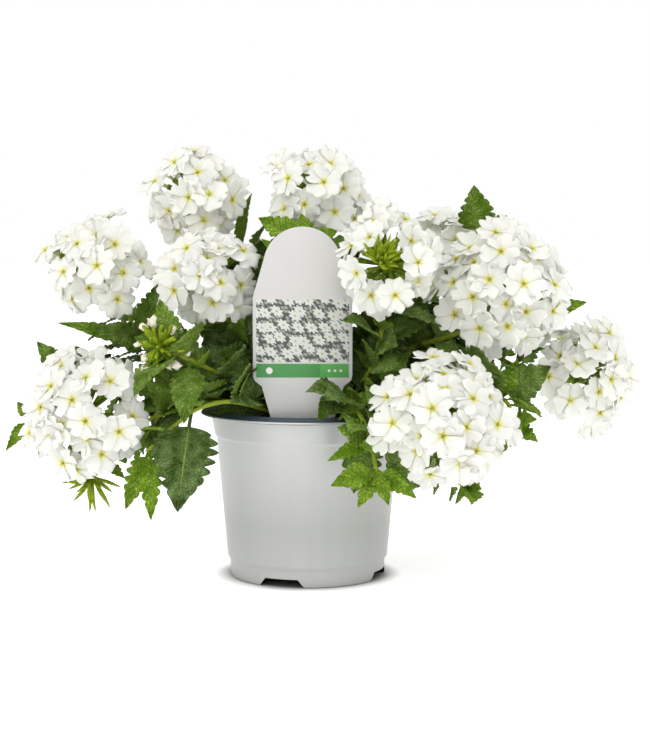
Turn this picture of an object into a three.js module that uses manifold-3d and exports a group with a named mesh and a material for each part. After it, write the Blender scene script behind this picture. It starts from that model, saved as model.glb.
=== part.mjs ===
// A verbena with white flower heads in a round nursery pot.
// Millimetres, +Z up. The origin is the centre of the pot's underside, and the front is towards -Y.
import * as THREE from 'three';
import { mergeVertices } from 'three/addons/utils/BufferGeometryUtils.js';
import Module from 'manifold-3d';

const wasm = await Module();
wasm.setup();

// Pot: a thin-walled cone with a collar, a sloping rim and four notches in its foot
const POT_SIDES = 32;
const POT_HEIGHT = 90;
const POT_WALL = 1.2;
const POT_OUTSIDE = [
  [0, 0], [41.5, 0], [41.5, 8], [43, 11], [48.6, 74.5], [51.4, 86.5], [57, 87.6], [52, POT_HEIGHT],
];
const POT_INSIDE = [[0, 1.3], [40.2, 1.3], [41.8, 11], [47.3, 74.5], [50.2, 87], [50.6, 90.5], [0, 90.5]];
const NOTCH_TURNS = [-19, 71, 161, 251];
const NOTCH_BOTTOM_WIDTH = 28;
const NOTCH_TOP_WIDTH = 18;
const NOTCH_HEIGHT = 4.5;
const NOTCH_INNER_RADIUS = 24;
const DRAIN_RADIUS = 4;
const DRAIN_DISTANCE = 34;
const DRAIN_SIDES = 10;
const DRAIN_DEPTH = 12;
const BELOW_FOOT = 2;
const PAST_WALL = 60;

// Soil: fills the pot to a little under the rim
const SOIL_TOP = 82;
const SOIL_EDGE_RADIUS = 48.6;
const SOIL_RING_RADIUS = 30;
const SOIL_BUMP = 0.8;
const SOIL_WAVES = [6, 7, 4];
const SOIL_CROSS_WAVE = 0.7;
const CLEARANCE = 0.4;

// Tag: a flat plastic label pushed into the soil near the front
const TAG_THICKNESS = 0.8;
const TAG_X = -2;
const TAG_Y = -41;
const TAG_ARC_RADIUS = 20;
const TAG_ARC_CENTRE_Z = 166.4;
const TAG_ARC_END = 0.19;
const TAG_ARC_STEPS = 7;
const TAG_RIGHT_SIDE = [
  [25.4, 150.5], [25.4, 108.6], [21, 105.1], [16.7, 90.1], [14.4, 82], [5, 66], [1.5, 50],
];

// Flower heads: centre, the way each one faces, outer radius and number of florets
const HEADS = {
  top_left: { centre: [-59, 15, 201], facing: [-0.25, -0.75, 0.6], radius: 27, florets: 9 },
  left: { centre: [-112, -5, 164], facing: [-0.45, -0.7, 0.5], radius: 29, florets: 9 },
  mid_left: { centre: [-52, -22, 160], facing: [-0.15, -0.8, 0.5], radius: 27, florets: 10 },
  top_mid: { centre: [6, 8, 202], facing: [0.05, -0.7, 0.7], radius: 28, florets: 9 },
  mid_right: { centre: [41, -58, 167], facing: [-0.08, -0.95, 0.18], radius: 26, florets: 9 },
  right: { centre: [100, -25, 152], facing: [0.2, -0.8, 0.5], radius: 34, florets: 12 },
  far_right: { centre: [148, 12, 107], facing: [0.5, -0.75, 0.4], radius: 30, florets: 10 },
  low_left: { centre: [-111, -50, 92], facing: [-0.35, -0.85, 0.4], radius: 32, florets: 11 },
  low_right: { centre: [68, -85, 94], facing: [0.25, -0.85, 0.45], radius: 32, florets: 11 },
  top_right: { centre: [74, 25, 176], facing: [0.2, -0.6, 0.75], radius: 22, florets: 7 },
  back_left: { centre: [-62, 80, 152], facing: [-0.45, 0.7, 0.55], radius: 27, florets: 9 },
  back_mid: { centre: [-4, 90, 142], facing: [0, 0.8, 0.6], radius: 27, florets: 9 },
  back_right: { centre: [106, 76, 146], facing: [0.5, 0.65, 0.55], radius: 28, florets: 9 },
};
const YOUNG_HEAD = 'mid_right';
const YOUNG_MIDDLE = 0.62;
const HEAD_COVER = 1.9;
const GOLDEN_ANGLE = 2.399963;
const HEAD_SEED = 9000;
const HEAD_SEED_STEP = 31;
const FLORET_REACH = 0.42;
const CORE_SHARE = 0.6;
const TUBE_RADIUS = 1.5;
const TUBE_ROOT_SHARE = 0.7;
const LAYER_STEP = 1.4;
const SPIRAL_UNEVENNESS = 0.3;
const LIMB_DEPTH = 2.2;
const THROAT_DEPTH = 0.9;
const PETALS = 5;
// How far a petal's edge moves outwards and upwards as the floret grows, as shares of the growth
const RIM_SPREAD = 3;
const RIM_LIFT = 0.5;
// One petal of a floret: turn from its middle in degrees, reach and lift, as shares of the floret's reach
const PETAL_OUTLINE = [[-36, 0.42, 0], [-17, 1, 0.06], [17, 0.97, 0.1]];

// Stems: where each leaves the soil, the points that it passes, and the head that it carries if it has one
const STEMS = {
  top_left: { root: [-6, 6], via: [[-13, 16, 130], [-26, 25, 156], [-42, 33, 172]] },
  left: { root: [-14, -2], via: [[-45, 0, 108], [-80, 3, 116], [-94, 10, 132]] },
  mid_left: { root: [-9, -6], via: [[-28, -10, 116]] },
  top_mid: { root: [0, 4], via: [[4, 14, 130], [6, 24, 162]] },
  mid_right: { root: [14, -12], via: [[34, -34, 116]] },
  right: { root: [13, -4], via: [[42, -8, 116], [74, -8, 128]] },
  far_right: { root: [17, 4], via: [[58, 14, 112], [92, 22, 118], [118, 31, 107]] },
  low_left: { root: [-16, -8], via: [[-36, -28, 96], [-64, -35, 93]] },
  low_right: { root: [11, -19], via: [[30, -34, 98], [43, -48, 103]] },
  top_right: { root: [7, 6], via: [[34, 20, 126]] },
  back_left: { root: [-8, 13], via: [[-34, 44, 112]] },
  back_mid: { root: [1, 15], via: [[0, 44, 112]] },
  back_right: { root: [11, 14], via: [[50, 42, 108]] },
  left_shoot: { root: [-17, 4], via: [[-50, 6, 101], [-95, 2, 99], [-126, -12, 98], [-146, -26, 84]] },
  fan_shoot: { root: [-19, -4], via: [[-52, -18, 97], [-86, -25, 78], [-110, -40, 58]] },
  buds_left: { root: [-12, -13], via: [[-38, -32, 106], [-58, -50, 119], [-73, -60, 127]] },
  over_left: { root: [-9, -18], via: [[-34, -44, 97], [-52, -53, 96], [-66, -57, 87], [-80, -61, 74]] },
  front_shoot: { root: [10, -24], via: [[21, -43, 97], [25, -58, 96], [31, -72, 84], [35, -82, 66]] },
  low_right_shoot: { root: [17, -17], via: [[42, -37, 97], [60, -50, 89], [76, -60, 70], [80, -72, 56]] },
  right_shoot: { root: [19, -7], via: [[48, -26, 103], [76, -36, 104], [101, -38, 98], [106, -40, 84]] },
  top_shoot: { root: [10, 0], via: [[40, 4, 130], [76, 6, 154], [91, 3, 181]] },
  side_shoot: { root: [21, -1], via: [[52, 9, 119], [90, 15, 129], [118, 8, 136]] },
  tag_shoot: { root: [1, -23], via: [[0, -28, 120], [-1, -27, 150], [0, -25, 179]] },
  back_shoot_left: { root: [-15, 10], via: [[-50, 44, 100], [-90, 60, 92]] },
  back_shoot_right: { root: [18, 11], via: [[62, 56, 104], [96, 84, 88]] },
};
const NECK_SHARE = 0.95;
const TIP_SHARE = 0.35;
const ROOT_TAPER = 0.9;
const STEM_SIDE = 2.4;
const STEM_STEP = 25;
const FEWEST_STEM_STEPS = 4;
const ROOT_DEPTH = 10;
const COLLAR_HEIGHT = 2;

// Leaves placed by hand: stem, share of the way along it, tip, width, and whether the blade faces the front
const CHOSEN_LEAVES = [
  ['left_shoot', 0.76, [-141, -18, 126], 17, true],
  ['left_shoot', 0.78, [-138, -32, 108], 12, true],
  ['left_shoot', 0.98, [-149, -34, 96], 6, false],
  ['left_shoot', 0.98, [-154, -42, 72], 7, true],
  ['over_left', 0.97, [-90, -66, 46], 12, true],
  ['over_left', 0.97, [-77, -70, 41], 11, true],
  ['over_left', 0.68, [-63, -78, 46], 30, true],
  ['buds_left', 0.76, [-60, -74, 89], 16, true],
  ['left', 0.56, [-109, -38, 135], 15, true],
  ['left', 0.58, [-127, -25, 137], 9, true],
  ['left', 0.6, [-75, -8, 159], 15, true],
  ['low_left', 0.62, [-81, -52, 109], 15, true],
  ['mid_left', 0.55, [-61, -32, 100], 24, true],
  ['mid_left', 0.5, [-46, -36, 121], 14, true],
  ['mid_left', 0.58, [-32, -35, 140], 13, true],
  ['buds_left', 0.4, [-39, -60, 97], 16, true],
  ['tag_shoot', 0.98, [-25, -22, 191], 14, true],
  ['tag_shoot', 0.98, [16, -26, 184], 11, true],
  ['tag_shoot', 0.99, [-3, -22, 193], 10, true],
  ['tag_shoot', 0.84, [-23, -29, 180], 10, true],
  ['top_left', 0.62, [-30, 5, 204], 7, false],
  ['top_shoot', 0.99, [88, -1, 208], 18, true],
  ['top_shoot', 0.99, [107, 10, 192], 12, true],
  ['side_shoot', 0.97, [146, -11, 147], 14, true],
  ['far_right', 0.64, [123, -18, 123], 10, true],
  ['right_shoot', 0.78, [124, -50, 116], 20, true],
  ['right_shoot', 0.78, [107, -46, 119], 11, true],
  ['right_shoot', 0.8, [118, -56, 93], 10, false],
  ['right_shoot', 0.97, [115, -54, 90], 12, true],
  ['right_shoot', 0.99, [117, -52, 78], 9, true],
  ['low_right', 0.56, [16, -68, 91], 8, false],
  ['low_right', 0.42, [32, -74, 86], 9, false],
  ['low_right_shoot', 0.98, [86, -86, 59], 12, true],
  ['low_right_shoot', 0.98, [80, -94, 53], 12, false],
  ['front_shoot', 0.98, [12, -94, 62], 12, true],
  ['front_shoot', 0.98, [53, -96, 57], 10, true],
  ['front_shoot', 0.99, [25, -94, 51], 9, true],
  ['front_shoot', 0.99, [40, -99, 53], 9, true],
  ['front_shoot', 0.9, [35, -91, 88], 14, true],
  ['front_shoot', 0.82, [15, -82, 89], 13, true],
  ['front_shoot', 0.84, [11, -90, 74], 8, true],
  ['mid_right', 0.55, [46, -58, 127], 17, true],
  ['mid_right', 0.5, [48, -62, 116], 14, true],
];

// Leaves placed by rule: opposite pairs that turn a quarter from each pair to the next
const PAIR_SPACING = 58;
const FIRST_PAIR = 23;
const LEAF_LENGTH = [29, 40];
const LEAF_SLENDERNESS = 0.48;
const LEAF_WIDTH_RANGE = [0.9, 1.1];
const LEAF_PITCHES = [1.0, 0.7, 1.3, 0.45, 1.6];
const LEAF_YAWS = [0, 0.5, -0.5, 1, -1];
// The rounded outline that the tips of these leaves stay in: its middle and its reach each way
const PLANT_MIDDLE = [8, 0, 112];
const PLANT_REACH = [146, 108, 91];
const LEAF_SEED = 4711;
const FIRST_TURN = 0.4;
const WALK_STEPS = 200;
const STEM_SAMPLES = 41;
const LOWEST_LEAF = 8;
const COLLAR_Z = 84;
const RIM_RADIUS = 57;
const FOOT_RADIUS = 43;
const POT_SLOPE = 0.11;
const WANTED_ROOM = 4.6;
const LEAST_ROOM = 4;
const STEM_ROOM_SHARE = 0.8;
// Where a blade is sampled when its room is measured: shares of its length and of its half width
const SAMPLE_SHARES = [0.35, 0.5, 0.65, 0.8];
const SAMPLE_SIDES = [-1, -0.5, 0, 0.5, 1];

// Leaf form
const LEAF_THICKNESS = 1.4;
const PETIOLE_SHARE = 0.16;
const PETIOLE_HALF_WIDTH = 0.9;
const LEAF_OUTWARD = 0.5;
const LEAF_UPWARD = 0.8;
const FRONT_SKY = [0, -1, 0.35];
const LEAF_ARCH = 0.07;
const LEAF_FOLD = 0.22;
const NOTCH_SHARE = 0.72;
const TOOTH_PEAK = 0.75;
const TOOTH_GAP = 1.05;
const LAST_TOOTH = 0.35;
const LONG_LEAF = 42;
const NARROW_LEAF = 10;

// Young flower buds: the head where buds still show in the middle, and two clusters without open florets
const BUD_RADIUS = 1.7;
const BUD_WIDEST = 0.7;
const BUD_KNOB_RADIUS = 2.6;
const YOUNG_BUDS = { count: 8, spread: 0.75, length: 9 };
const END_BUDS = {
  buds_left: { count: 7, spread: 1.5, length: 11 },
  fan_shoot: { count: 7, spread: 1.3, length: 13 },
};

// Colours
const POT_COLOUR = 0xcdd2d3;
const SOIL_COLOUR = 0x2a211b;
const TAG_COLOUR = 0xe4e2e0;
const PETAL_COLOUR = 0xf4f4ee;
const LEAF_COLOUR = 0x47742f;
const BUD_COLOUR = 0x86a63c;

const MERGE_DISTANCE = 1e-4;
const NEARLY_UPRIGHT = 0.9;

const vec = (point) => new THREE.Vector3(...point);

function material(colour, roughness) {
  return new THREE.MeshStandardMaterial({ color: colour, roughness, metalness: 0 });
}

// The same numbers from the same seed, between 0 and 1
function seededRandom(seed) {
  let state = seed;
  return () => {
    state = (state + 0x6d2b79f5) | 0;
    let mixed = Math.imul(state ^ (state >>> 15), 1 | state);
    mixed = (mixed + Math.imul(mixed ^ (mixed >>> 7), 61 | mixed)) ^ mixed;
    return ((mixed ^ (mixed >>> 14)) >>> 0) / 4294967296;
  };
}

// A closed geometry as an exact solid
function toSolid(geometry) {
  const plain = geometry.clone();
  plain.deleteAttribute('normal');
  plain.deleteAttribute('uv');
  const merged = mergeVertices(plain, MERGE_DISTANCE);
  const mesh = new wasm.Mesh({
    numProp: 3,
    vertProperties: Float32Array.from(merged.attributes.position.array),
    triVerts: Uint32Array.from(merged.index.array),
  });
  return new wasm.Manifold(mesh);
}

function fromTriangles(points, triangles) {
  const geometry = new THREE.BufferGeometry();
  const numbers = points.flatMap((point) => point.toArray());
  geometry.setAttribute('position', new THREE.Float32BufferAttribute(numbers, 3));
  geometry.setIndex(triangles.flat());
  return toSolid(geometry);
}

function toGeometry(solid) {
  const mesh = solid.getMesh();
  const geometry = new THREE.BufferGeometry();
  geometry.setAttribute('position', new THREE.BufferAttribute(Float32Array.from(mesh.vertProperties), 3));
  geometry.setIndex(new THREE.BufferAttribute(Uint32Array.from(mesh.triVerts), 1));
  geometry.computeVertexNormals();
  return geometry;
}

function join(solids) {
  let queue = solids;
  while (queue.length > 1) {
    const next = [];
    for (let i = 0; i < queue.length; i += 2) {
      next.push(i + 1 < queue.length ? queue[i].add(queue[i + 1]) : queue[i]);
    }
    queue = next;
  }
  return queue[0];
}

function biggestPiece(solid) {
  return solid.decompose().reduce((best, piece) => (piece.volume() > best.volume() ? piece : best));
}

// A solid of revolution about Z from (radius, height) pairs that start and end on the axis
function turned(profile) {
  const points = profile.map(([radius, height]) => new THREE.Vector2(radius, height));
  const geometry = new THREE.LatheGeometry(points, POT_SIDES);
  geometry.rotateX(Math.PI / 2);
  return toSolid(geometry);
}

// The four notches in the foot, each a tapered prism that runs outwards, larger by the margin all round
function footNotches(margin) {
  const bottom = NOTCH_BOTTOM_WIDTH / 2 + margin;
  const top = NOTCH_TOP_WIDTH / 2 + margin;
  const shape = new THREE.Shape([
    new THREE.Vector2(-bottom, -BELOW_FOOT),
    new THREE.Vector2(bottom, -BELOW_FOOT),
    new THREE.Vector2(top, NOTCH_HEIGHT + margin),
    new THREE.Vector2(-top, NOTCH_HEIGHT + margin),
  ]);
  return join(NOTCH_TURNS.map((turn) => {
    const prism = new THREE.ExtrudeGeometry(shape, { depth: PAST_WALL, bevelEnabled: false });
    prism.rotateX(Math.PI / 2);
    prism.translate(0, -NOTCH_INNER_RADIUS + margin, 0);
    prism.rotateZ(THREE.MathUtils.degToRad(turn));
    return toSolid(prism);
  }));
}

function drainHoles() {
  return join(NOTCH_TURNS.map((turn) => {
    const hole = new THREE.CylinderGeometry(DRAIN_RADIUS, DRAIN_RADIUS, DRAIN_DEPTH, DRAIN_SIDES);
    hole.rotateX(Math.PI / 2);
    hole.translate(0, -DRAIN_DISTANCE, NOTCH_HEIGHT);
    hole.rotateZ(THREE.MathUtils.degToRad(turn));
    return toSolid(hole);
  }));
}

function potSolid(grow) {
  const outline = [...POT_OUTSIDE, [0, POT_HEIGHT]].map(([radius, height]) => [
    radius === 0 ? 0 : radius + grow,
    height > POT_HEIGHT / 2 ? height + grow : height,
  ]);
  const outside = turned(outline).subtract(footNotches(0));
  const hollow = turned(POT_INSIDE.map(([radius, height]) => [radius === 0 ? 0 : radius - grow, height]));
  const inside = hollow.subtract(footNotches(POT_WALL));
  return outside.subtract(inside).subtract(drainHoles());
}

// Height of the soil's uneven top
function soilHeight(x, y) {
  const lumps = Math.sin(x / SOIL_WAVES[0] + 1) * Math.cos(y / SOIL_WAVES[1]);
  return SOIL_TOP + SOIL_BUMP * (lumps - SOIL_CROSS_WAVE * Math.cos((x + y) / SOIL_WAVES[2]));
}

function soilSolid() {
  const sides = POT_INSIDE.slice(0, 4).map(([radius, height], i) => [
    radius === 0 ? 0 : radius - CLEARANCE,
    i < 2 ? height + CLEARANCE : height,
  ]);
  const profile = [...sides, [SOIL_EDGE_RADIUS, SOIL_TOP], [SOIL_RING_RADIUS, SOIL_TOP], [0, SOIL_TOP]];
  const points = profile.map(([radius, height]) => new THREE.Vector2(radius, height));
  const geometry = new THREE.LatheGeometry(points, POT_SIDES);
  geometry.rotateX(Math.PI / 2);
  const place = geometry.attributes.position;
  for (let i = 0; i < place.count; i += 1) {
    if (place.getZ(i) > SOIL_TOP - 1) {
      place.setZ(i, soilHeight(place.getX(i), place.getY(i)));
    }
  }
  return toSolid(geometry).subtract(footNotches(POT_WALL + CLEARANCE));
}

function tagSolid(grow) {
  const right = TAG_RIGHT_SIDE.map(([x, z]) => [x + grow, z]);
  const arc = [];
  for (let i = 0; i <= TAG_ARC_STEPS; i += 1) {
    const turn = TAG_ARC_END + (Math.PI - 2 * TAG_ARC_END) * (i / TAG_ARC_STEPS);
    const reach = TAG_ARC_RADIUS + grow;
    arc.push([reach * Math.cos(turn), TAG_ARC_CENTRE_Z + reach * Math.sin(turn)]);
  }
  const left = right.map(([x, z]) => [-x, z]);
  const outline = [...[...right].reverse(), ...arc, ...left];
  const shape = new THREE.Shape(outline.map(([x, z]) => new THREE.Vector2(x, z)));
  const geometry = new THREE.ExtrudeGeometry(shape, { depth: TAG_THICKNESS + 2 * grow, bevelEnabled: false });
  geometry.rotateX(Math.PI / 2);
  geometry.translate(TAG_X, TAG_Y + TAG_THICKNESS / 2 + grow, 0);
  return toSolid(geometry);
}

// Two directions square to the given one and to each other
function sideways(direction) {
  const up = Math.abs(direction.z) > NEARLY_UPRIGHT ? new THREE.Vector3(1, 0, 0) : new THREE.Vector3(0, 0, 1);
  const first = new THREE.Vector3().crossVectors(up, direction).normalize();
  const second = new THREE.Vector3().crossVectors(direction, first);
  return [first, second];
}

// A floret: a notched five-petalled limb that closes on a three-sided tube going down its axis
function floretSolid(centre, axis, spin, reach, tubeLength, grow) {
  const [across, along] = sideways(axis);
  const place = (turn, radius, height) => centre.clone()
    .addScaledVector(across, Math.cos(turn) * radius)
    .addScaledVector(along, Math.sin(turn) * radius)
    .addScaledVector(axis, height);
  const points = [place(0, 0, -THROAT_DEPTH + grow)];
  const triangles = [];
  for (let petal = 0; petal < PETALS; petal += 1) {
    for (const [turn, share, lift] of PETAL_OUTLINE) {
      const angle = spin + THREE.MathUtils.degToRad(turn + petal * (360 / PETALS));
      points.push(place(angle, share * reach + RIM_SPREAD * grow, lift * reach + RIM_LIFT * grow));
    }
  }
  const rim = points.length - 1;
  for (let i = 0; i < rim; i += 1) {
    triangles.push([0, 1 + i, 1 + ((i + 1) % rim)]);
  }
  const neck = points.length;
  for (let corner = 0; corner < 3; corner += 1) {
    points.push(place(spin + (corner * 2 * Math.PI) / 3, TUBE_RADIUS + grow, -LIMB_DEPTH - 2 * grow));
  }
  const foot = points.length;
  for (let corner = 0; corner < 3; corner += 1) {
    points.push(place(spin + (corner * 2 * Math.PI) / 3, TUBE_RADIUS + grow, -tubeLength));
  }
  let corner = 0;
  for (let i = 0; i < rim; i += 1) {
    triangles.push([1 + ((i + 1) % rim), 1 + i, neck + (corner % 3)]);
    if (((i + 1) * 3) / rim >= corner + 0.5) {
      triangles.push([1 + ((i + 1) % rim), neck + (corner % 3), neck + ((corner + 1) % 3)]);
      corner += 1;
    }
  }
  for (let i = 0; i < 3; i += 1) {
    const next = (i + 1) % 3;
    triangles.push([neck + i, foot + next, neck + next], [neck + i, foot + i, foot + next]);
  }
  triangles.push([foot, foot + 2, foot + 1]);
  return fromTriangles(points, triangles);
}

// Where the florets of a head sit: a spiral over the side that it faces
function floretPlaces(name) {
  const { centre, facing, radius, florets } = HEADS[name];
  const random = seededRandom(Math.round(HEAD_SEED + centre[0] * HEAD_SEED_STEP + centre[2]));
  const front = vec(facing).normalize();
  const [across, along] = sideways(front);
  const reach = radius * FLORET_REACH;
  const height = Math.sqrt(radius * radius - reach * reach);
  const places = [];
  for (let i = 0; i < florets; i += 1) {
    const start = name === YOUNG_HEAD ? Math.cos(YOUNG_MIDDLE) : 1;
    const lean = Math.acos(start - ((i + 0.5) / florets) * (start - Math.cos(HEAD_COVER)));
    const turn = i * GOLDEN_ANGLE + random() * SPIRAL_UNEVENNESS;
    const axis = front.clone().multiplyScalar(Math.cos(lean))
      .addScaledVector(across, Math.sin(lean) * Math.cos(turn))
      .addScaledVector(along, Math.sin(lean) * Math.sin(turn));
    const rise = height - (i % 2) * LAYER_STEP;
    places.push({
      centre: vec(centre).addScaledVector(axis, rise),
      axis,
      spin: random() * 2 * Math.PI,
      reach,
      rise,
    });
  }
  return places;
}

function headSolid(name, grow) {
  const { centre, radius } = HEADS[name];
  const coreRadius = radius * CORE_SHARE;
  const core = new THREE.OctahedronGeometry(coreRadius + grow, 1);
  core.translate(...centre);
  const florets = floretPlaces(name).map((place) => floretSolid(
    place.centre, place.axis, place.spin, place.reach, place.rise - coreRadius * TUBE_ROOT_SHARE, grow));
  return join([toSolid(core), ...florets]);
}

// The path of a stem, from its root in the soil to its tip inside the head, a little longer if asked
function stemCurve(name, longer = 0) {
  const { root, via } = STEMS[name];
  const points = [
    new THREE.Vector3(root[0] * ROOT_TAPER, root[1] * ROOT_TAPER, SOIL_TOP - ROOT_DEPTH - longer),
    new THREE.Vector3(root[0], root[1], SOIL_TOP + COLLAR_HEIGHT),
    ...via.map(vec),
  ];
  if (name in HEADS) {
    const { centre, facing, radius } = HEADS[name];
    const front = vec(facing).normalize();
    points.push(vec(centre).addScaledVector(front, -radius * NECK_SHARE));
    points.push(vec(centre).addScaledVector(front, longer - radius * TIP_SHARE));
  }
  return new THREE.CatmullRomCurve3(points, false, 'catmullrom', 0.5);
}

function stemSolid(name, grow) {
  const curve = stemCurve(name, grow);
  const half = STEM_SIDE / 2 + grow;
  const section = new THREE.Shape([
    new THREE.Vector2(-half, -half),
    new THREE.Vector2(half, -half),
    new THREE.Vector2(half, half),
    new THREE.Vector2(-half, half),
  ]);
  const steps = Math.max(FEWEST_STEM_STEPS, Math.round(stemCurve(name).getLength() / STEM_STEP));
  return toSolid(new THREE.ExtrudeGeometry(section, { steps, extrudePath: curve, bevelEnabled: false }));
}

// Half width of a blade at a share of its length, as a share of its greatest half width
function ovate(share) {
  return Math.sin(Math.PI * share ** 0.6) ** 0.85;
}

// Where a tooth's peak or the gap after it lies along the blade
function toothShare(tooth, part, teeth) {
  return (tooth + part) / (teeth + LAST_TOOTH);
}

// The frame of a leaf: its base, length, direction, upper side and side direction
function leafFrame({ base, tip, toFront }) {
  const run = tip.clone().sub(base);
  const length = run.length();
  const direction = run.divideScalar(length);
  const outward = new THREE.Vector3(base.x, base.y, 0).normalize().multiplyScalar(LEAF_OUTWARD);
  const sky = toFront ? vec(FRONT_SKY) : outward.setZ(LEAF_UPWARD);
  const upper = sky.addScaledVector(direction, -sky.dot(direction)).normalize();
  const side = new THREE.Vector3().crossVectors(direction, upper);
  return { base, length, direction, upper, side };
}

// A point of a blade: share of the way along it, distance from the midrib and height off the sheet
function onLeaf(frame, share, offset, height) {
  const arch = LEAF_ARCH * frame.length * 4 * share * (1 - share);
  return frame.base.clone()
    .addScaledVector(frame.direction, share * frame.length)
    .addScaledVector(frame.side, offset)
    .addScaledVector(frame.upper, arch + LEAF_FOLD * Math.abs(offset) + height);
}

// Triangles between two rows of points, each a list of [share, index]
function strip(first, second, flip) {
  const triangles = [];
  let i = 0;
  let j = 0;
  while (i < first.length - 1 || j < second.length - 1) {
    const stepFirst = j === second.length - 1
      || (i < first.length - 1 && first[i + 1][0] <= second[j + 1][0]);
    const corners = stepFirst
      ? [first[i][1], first[i + 1][1], second[j][1]]
      : [first[i][1], second[j + 1][1], second[j][1]];
    if (new Set(corners).size === 3) {
      triangles.push(flip ? [corners[0], corners[2], corners[1]] : corners);
    }
    if (stepFirst) {
      i += 1;
    } else {
      j += 1;
    }
  }
  return triangles;
}

// A toothed leaf: two faces over one outline, thickest at the midrib, on a short stalk
function leafSolid(leaf, grow) {
  const { width } = leaf;
  const frame = leafFrame(leaf);
  const teeth = frame.length > LONG_LEAF ? 4 : width > NARROW_LEAF ? 3 : 2;
  const blade = (share) => PETIOLE_SHARE + (1 - PETIOLE_SHARE) * share;
  const points = [];
  const add = (share, offset, height) => [share, points.push(onLeaf(frame, share, offset, height)) - 1];
  const half = LEAF_THICKNESS / 2 + grow;
  const sheet = grow / 2;
  const end = add(1 + grow / frame.length, 0, 0);
  const edge = [1, -1].map((sign) => {
    const row = [add(0, sign * (PETIOLE_HALF_WIDTH + grow), 0)];
    for (let tooth = 0; tooth < teeth; tooth += 1) {
      const peak = toothShare(tooth, TOOTH_PEAK, teeth);
      const gap = toothShare(tooth, TOOTH_GAP, teeth);
      row.push(add(blade(peak), sign * ((ovate(peak) * width) / 2 + grow), sheet));
      row.push(add(blade(gap), sign * ((ovate(gap) * NOTCH_SHARE * width) / 2 + grow), sheet));
    }
    return [...row, end];
  });
  const rib = [1, -1].map((sign) => {
    const row = [add(0, 0, sign * half)];
    for (let tooth = 0; tooth < teeth - 1; tooth += 1) {
      row.push(add(blade(toothShare(tooth, TOOTH_GAP, teeth)), 0, sign * half));
    }
    return [...row, end];
  });
  const triangles = [
    ...strip(rib[0], edge[0], true),
    ...strip(rib[0], edge[1], false),
    ...strip(rib[1], edge[0], false),
    ...strip(rib[1], edge[1], true),
    [rib[0][0][1], rib[1][0][1], edge[0][0][1]],
    [rib[0][0][1], edge[1][0][1], rib[1][0][1]],
  ];
  return fromTriangles(points, triangles);
}

// Points that stand for a leaf when its room is measured
function leafSamples(leaf) {
  const frame = leafFrame(leaf);
  const samples = [];
  for (const share of SAMPLE_SHARES) {
    const reach = (ovate((share - PETIOLE_SHARE) / (1 - PETIOLE_SHARE)) * leaf.width) / 2;
    for (const side of SAMPLE_SIDES) {
      samples.push(onLeaf(frame, share, side * reach, 0));
    }
  }
  return [...samples, leaf.tip];
}

// Room around a point: to the heads, the tag, the pot, the surface below and the stems
function roomAt(point, stemPoints) {
  let room = point.z - LOWEST_LEAF;
  for (const { centre, radius } of Object.values(HEADS)) {
    room = Math.min(room, point.distanceTo(vec(centre)) - radius);
  }
  const potRadius = point.z > COLLAR_Z ? RIM_RADIUS : FOOT_RADIUS + POT_SLOPE * point.z;
  const pastPot = Math.hypot(point.x, point.y) - potRadius;
  room = Math.min(room, Math.max(point.z - POT_HEIGHT, pastPot));
  const besideTag = Math.abs(point.x - TAG_X) - TAG_RIGHT_SIDE[0][0];
  const beforeTag = Math.abs(point.y - TAG_Y) - TAG_THICKNESS;
  const overTag = point.z - TAG_ARC_CENTRE_Z - TAG_ARC_RADIUS;
  room = Math.min(room, Math.max(besideTag, beforeTag, overTag));
  for (const stemPoint of stemPoints) {
    room = Math.min(room, point.distanceTo(stemPoint) - STEM_SIDE * STEM_ROOM_SHARE);
  }
  return room;
}

// Whether a point is in the rounded outline that the heads and shoots fill
function insidePlant(point) {
  const spans = point.toArray().map((value, i) => (value - PLANT_MIDDLE[i]) / PLANT_REACH[i]);
  return Math.hypot(...spans) < 1;
}

// Shares of the way along a curve where leaf pairs grow, at an even spacing
function pairStations(curve) {
  const stations = [];
  let walked = 0;
  let wanted = ROOT_DEPTH + FIRST_PAIR;
  let last = curve.getPoint(0);
  for (let step = 1; step <= WALK_STEPS; step += 1) {
    const point = curve.getPoint(step / WALK_STEPS);
    walked += point.distanceTo(last);
    last = point;
    if (walked >= wanted) {
      stations.push(step / WALK_STEPS);
      wanted += PAIR_SPACING;
    }
  }
  return stations;
}

// The tip that gives a leaf enough room, out of a few pitches and yaws, or none if the best has too little
function roomyTip(curve, share, turn, length, width, obstacles) {
  const base = curve.getPoint(share);
  const ahead = curve.getTangent(share);
  const [across, along] = sideways(ahead);
  let best = { room: LEAST_ROOM, tip: null };
  for (const pitch of LEAF_PITCHES) {
    for (const yaw of LEAF_YAWS) {
      const tip = base.clone()
        .addScaledVector(ahead, Math.cos(pitch) * length)
        .addScaledVector(across, Math.sin(pitch) * Math.cos(turn + yaw) * length)
        .addScaledVector(along, Math.sin(pitch) * Math.sin(turn + yaw) * length);
      let room = Infinity;
      for (const point of leafSamples({ base, tip, width })) {
        room = Math.min(room, roomAt(point, obstacles.stems));
        for (const taken of obstacles.leaves) {
          room = Math.min(room, point.distanceTo(taken));
        }
      }
      if (room > best.room) {
        best = { room, tip };
      }
      if (best.room >= WANTED_ROOM) {
        return best.tip;
      }
    }
  }
  return best.tip;
}

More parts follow.
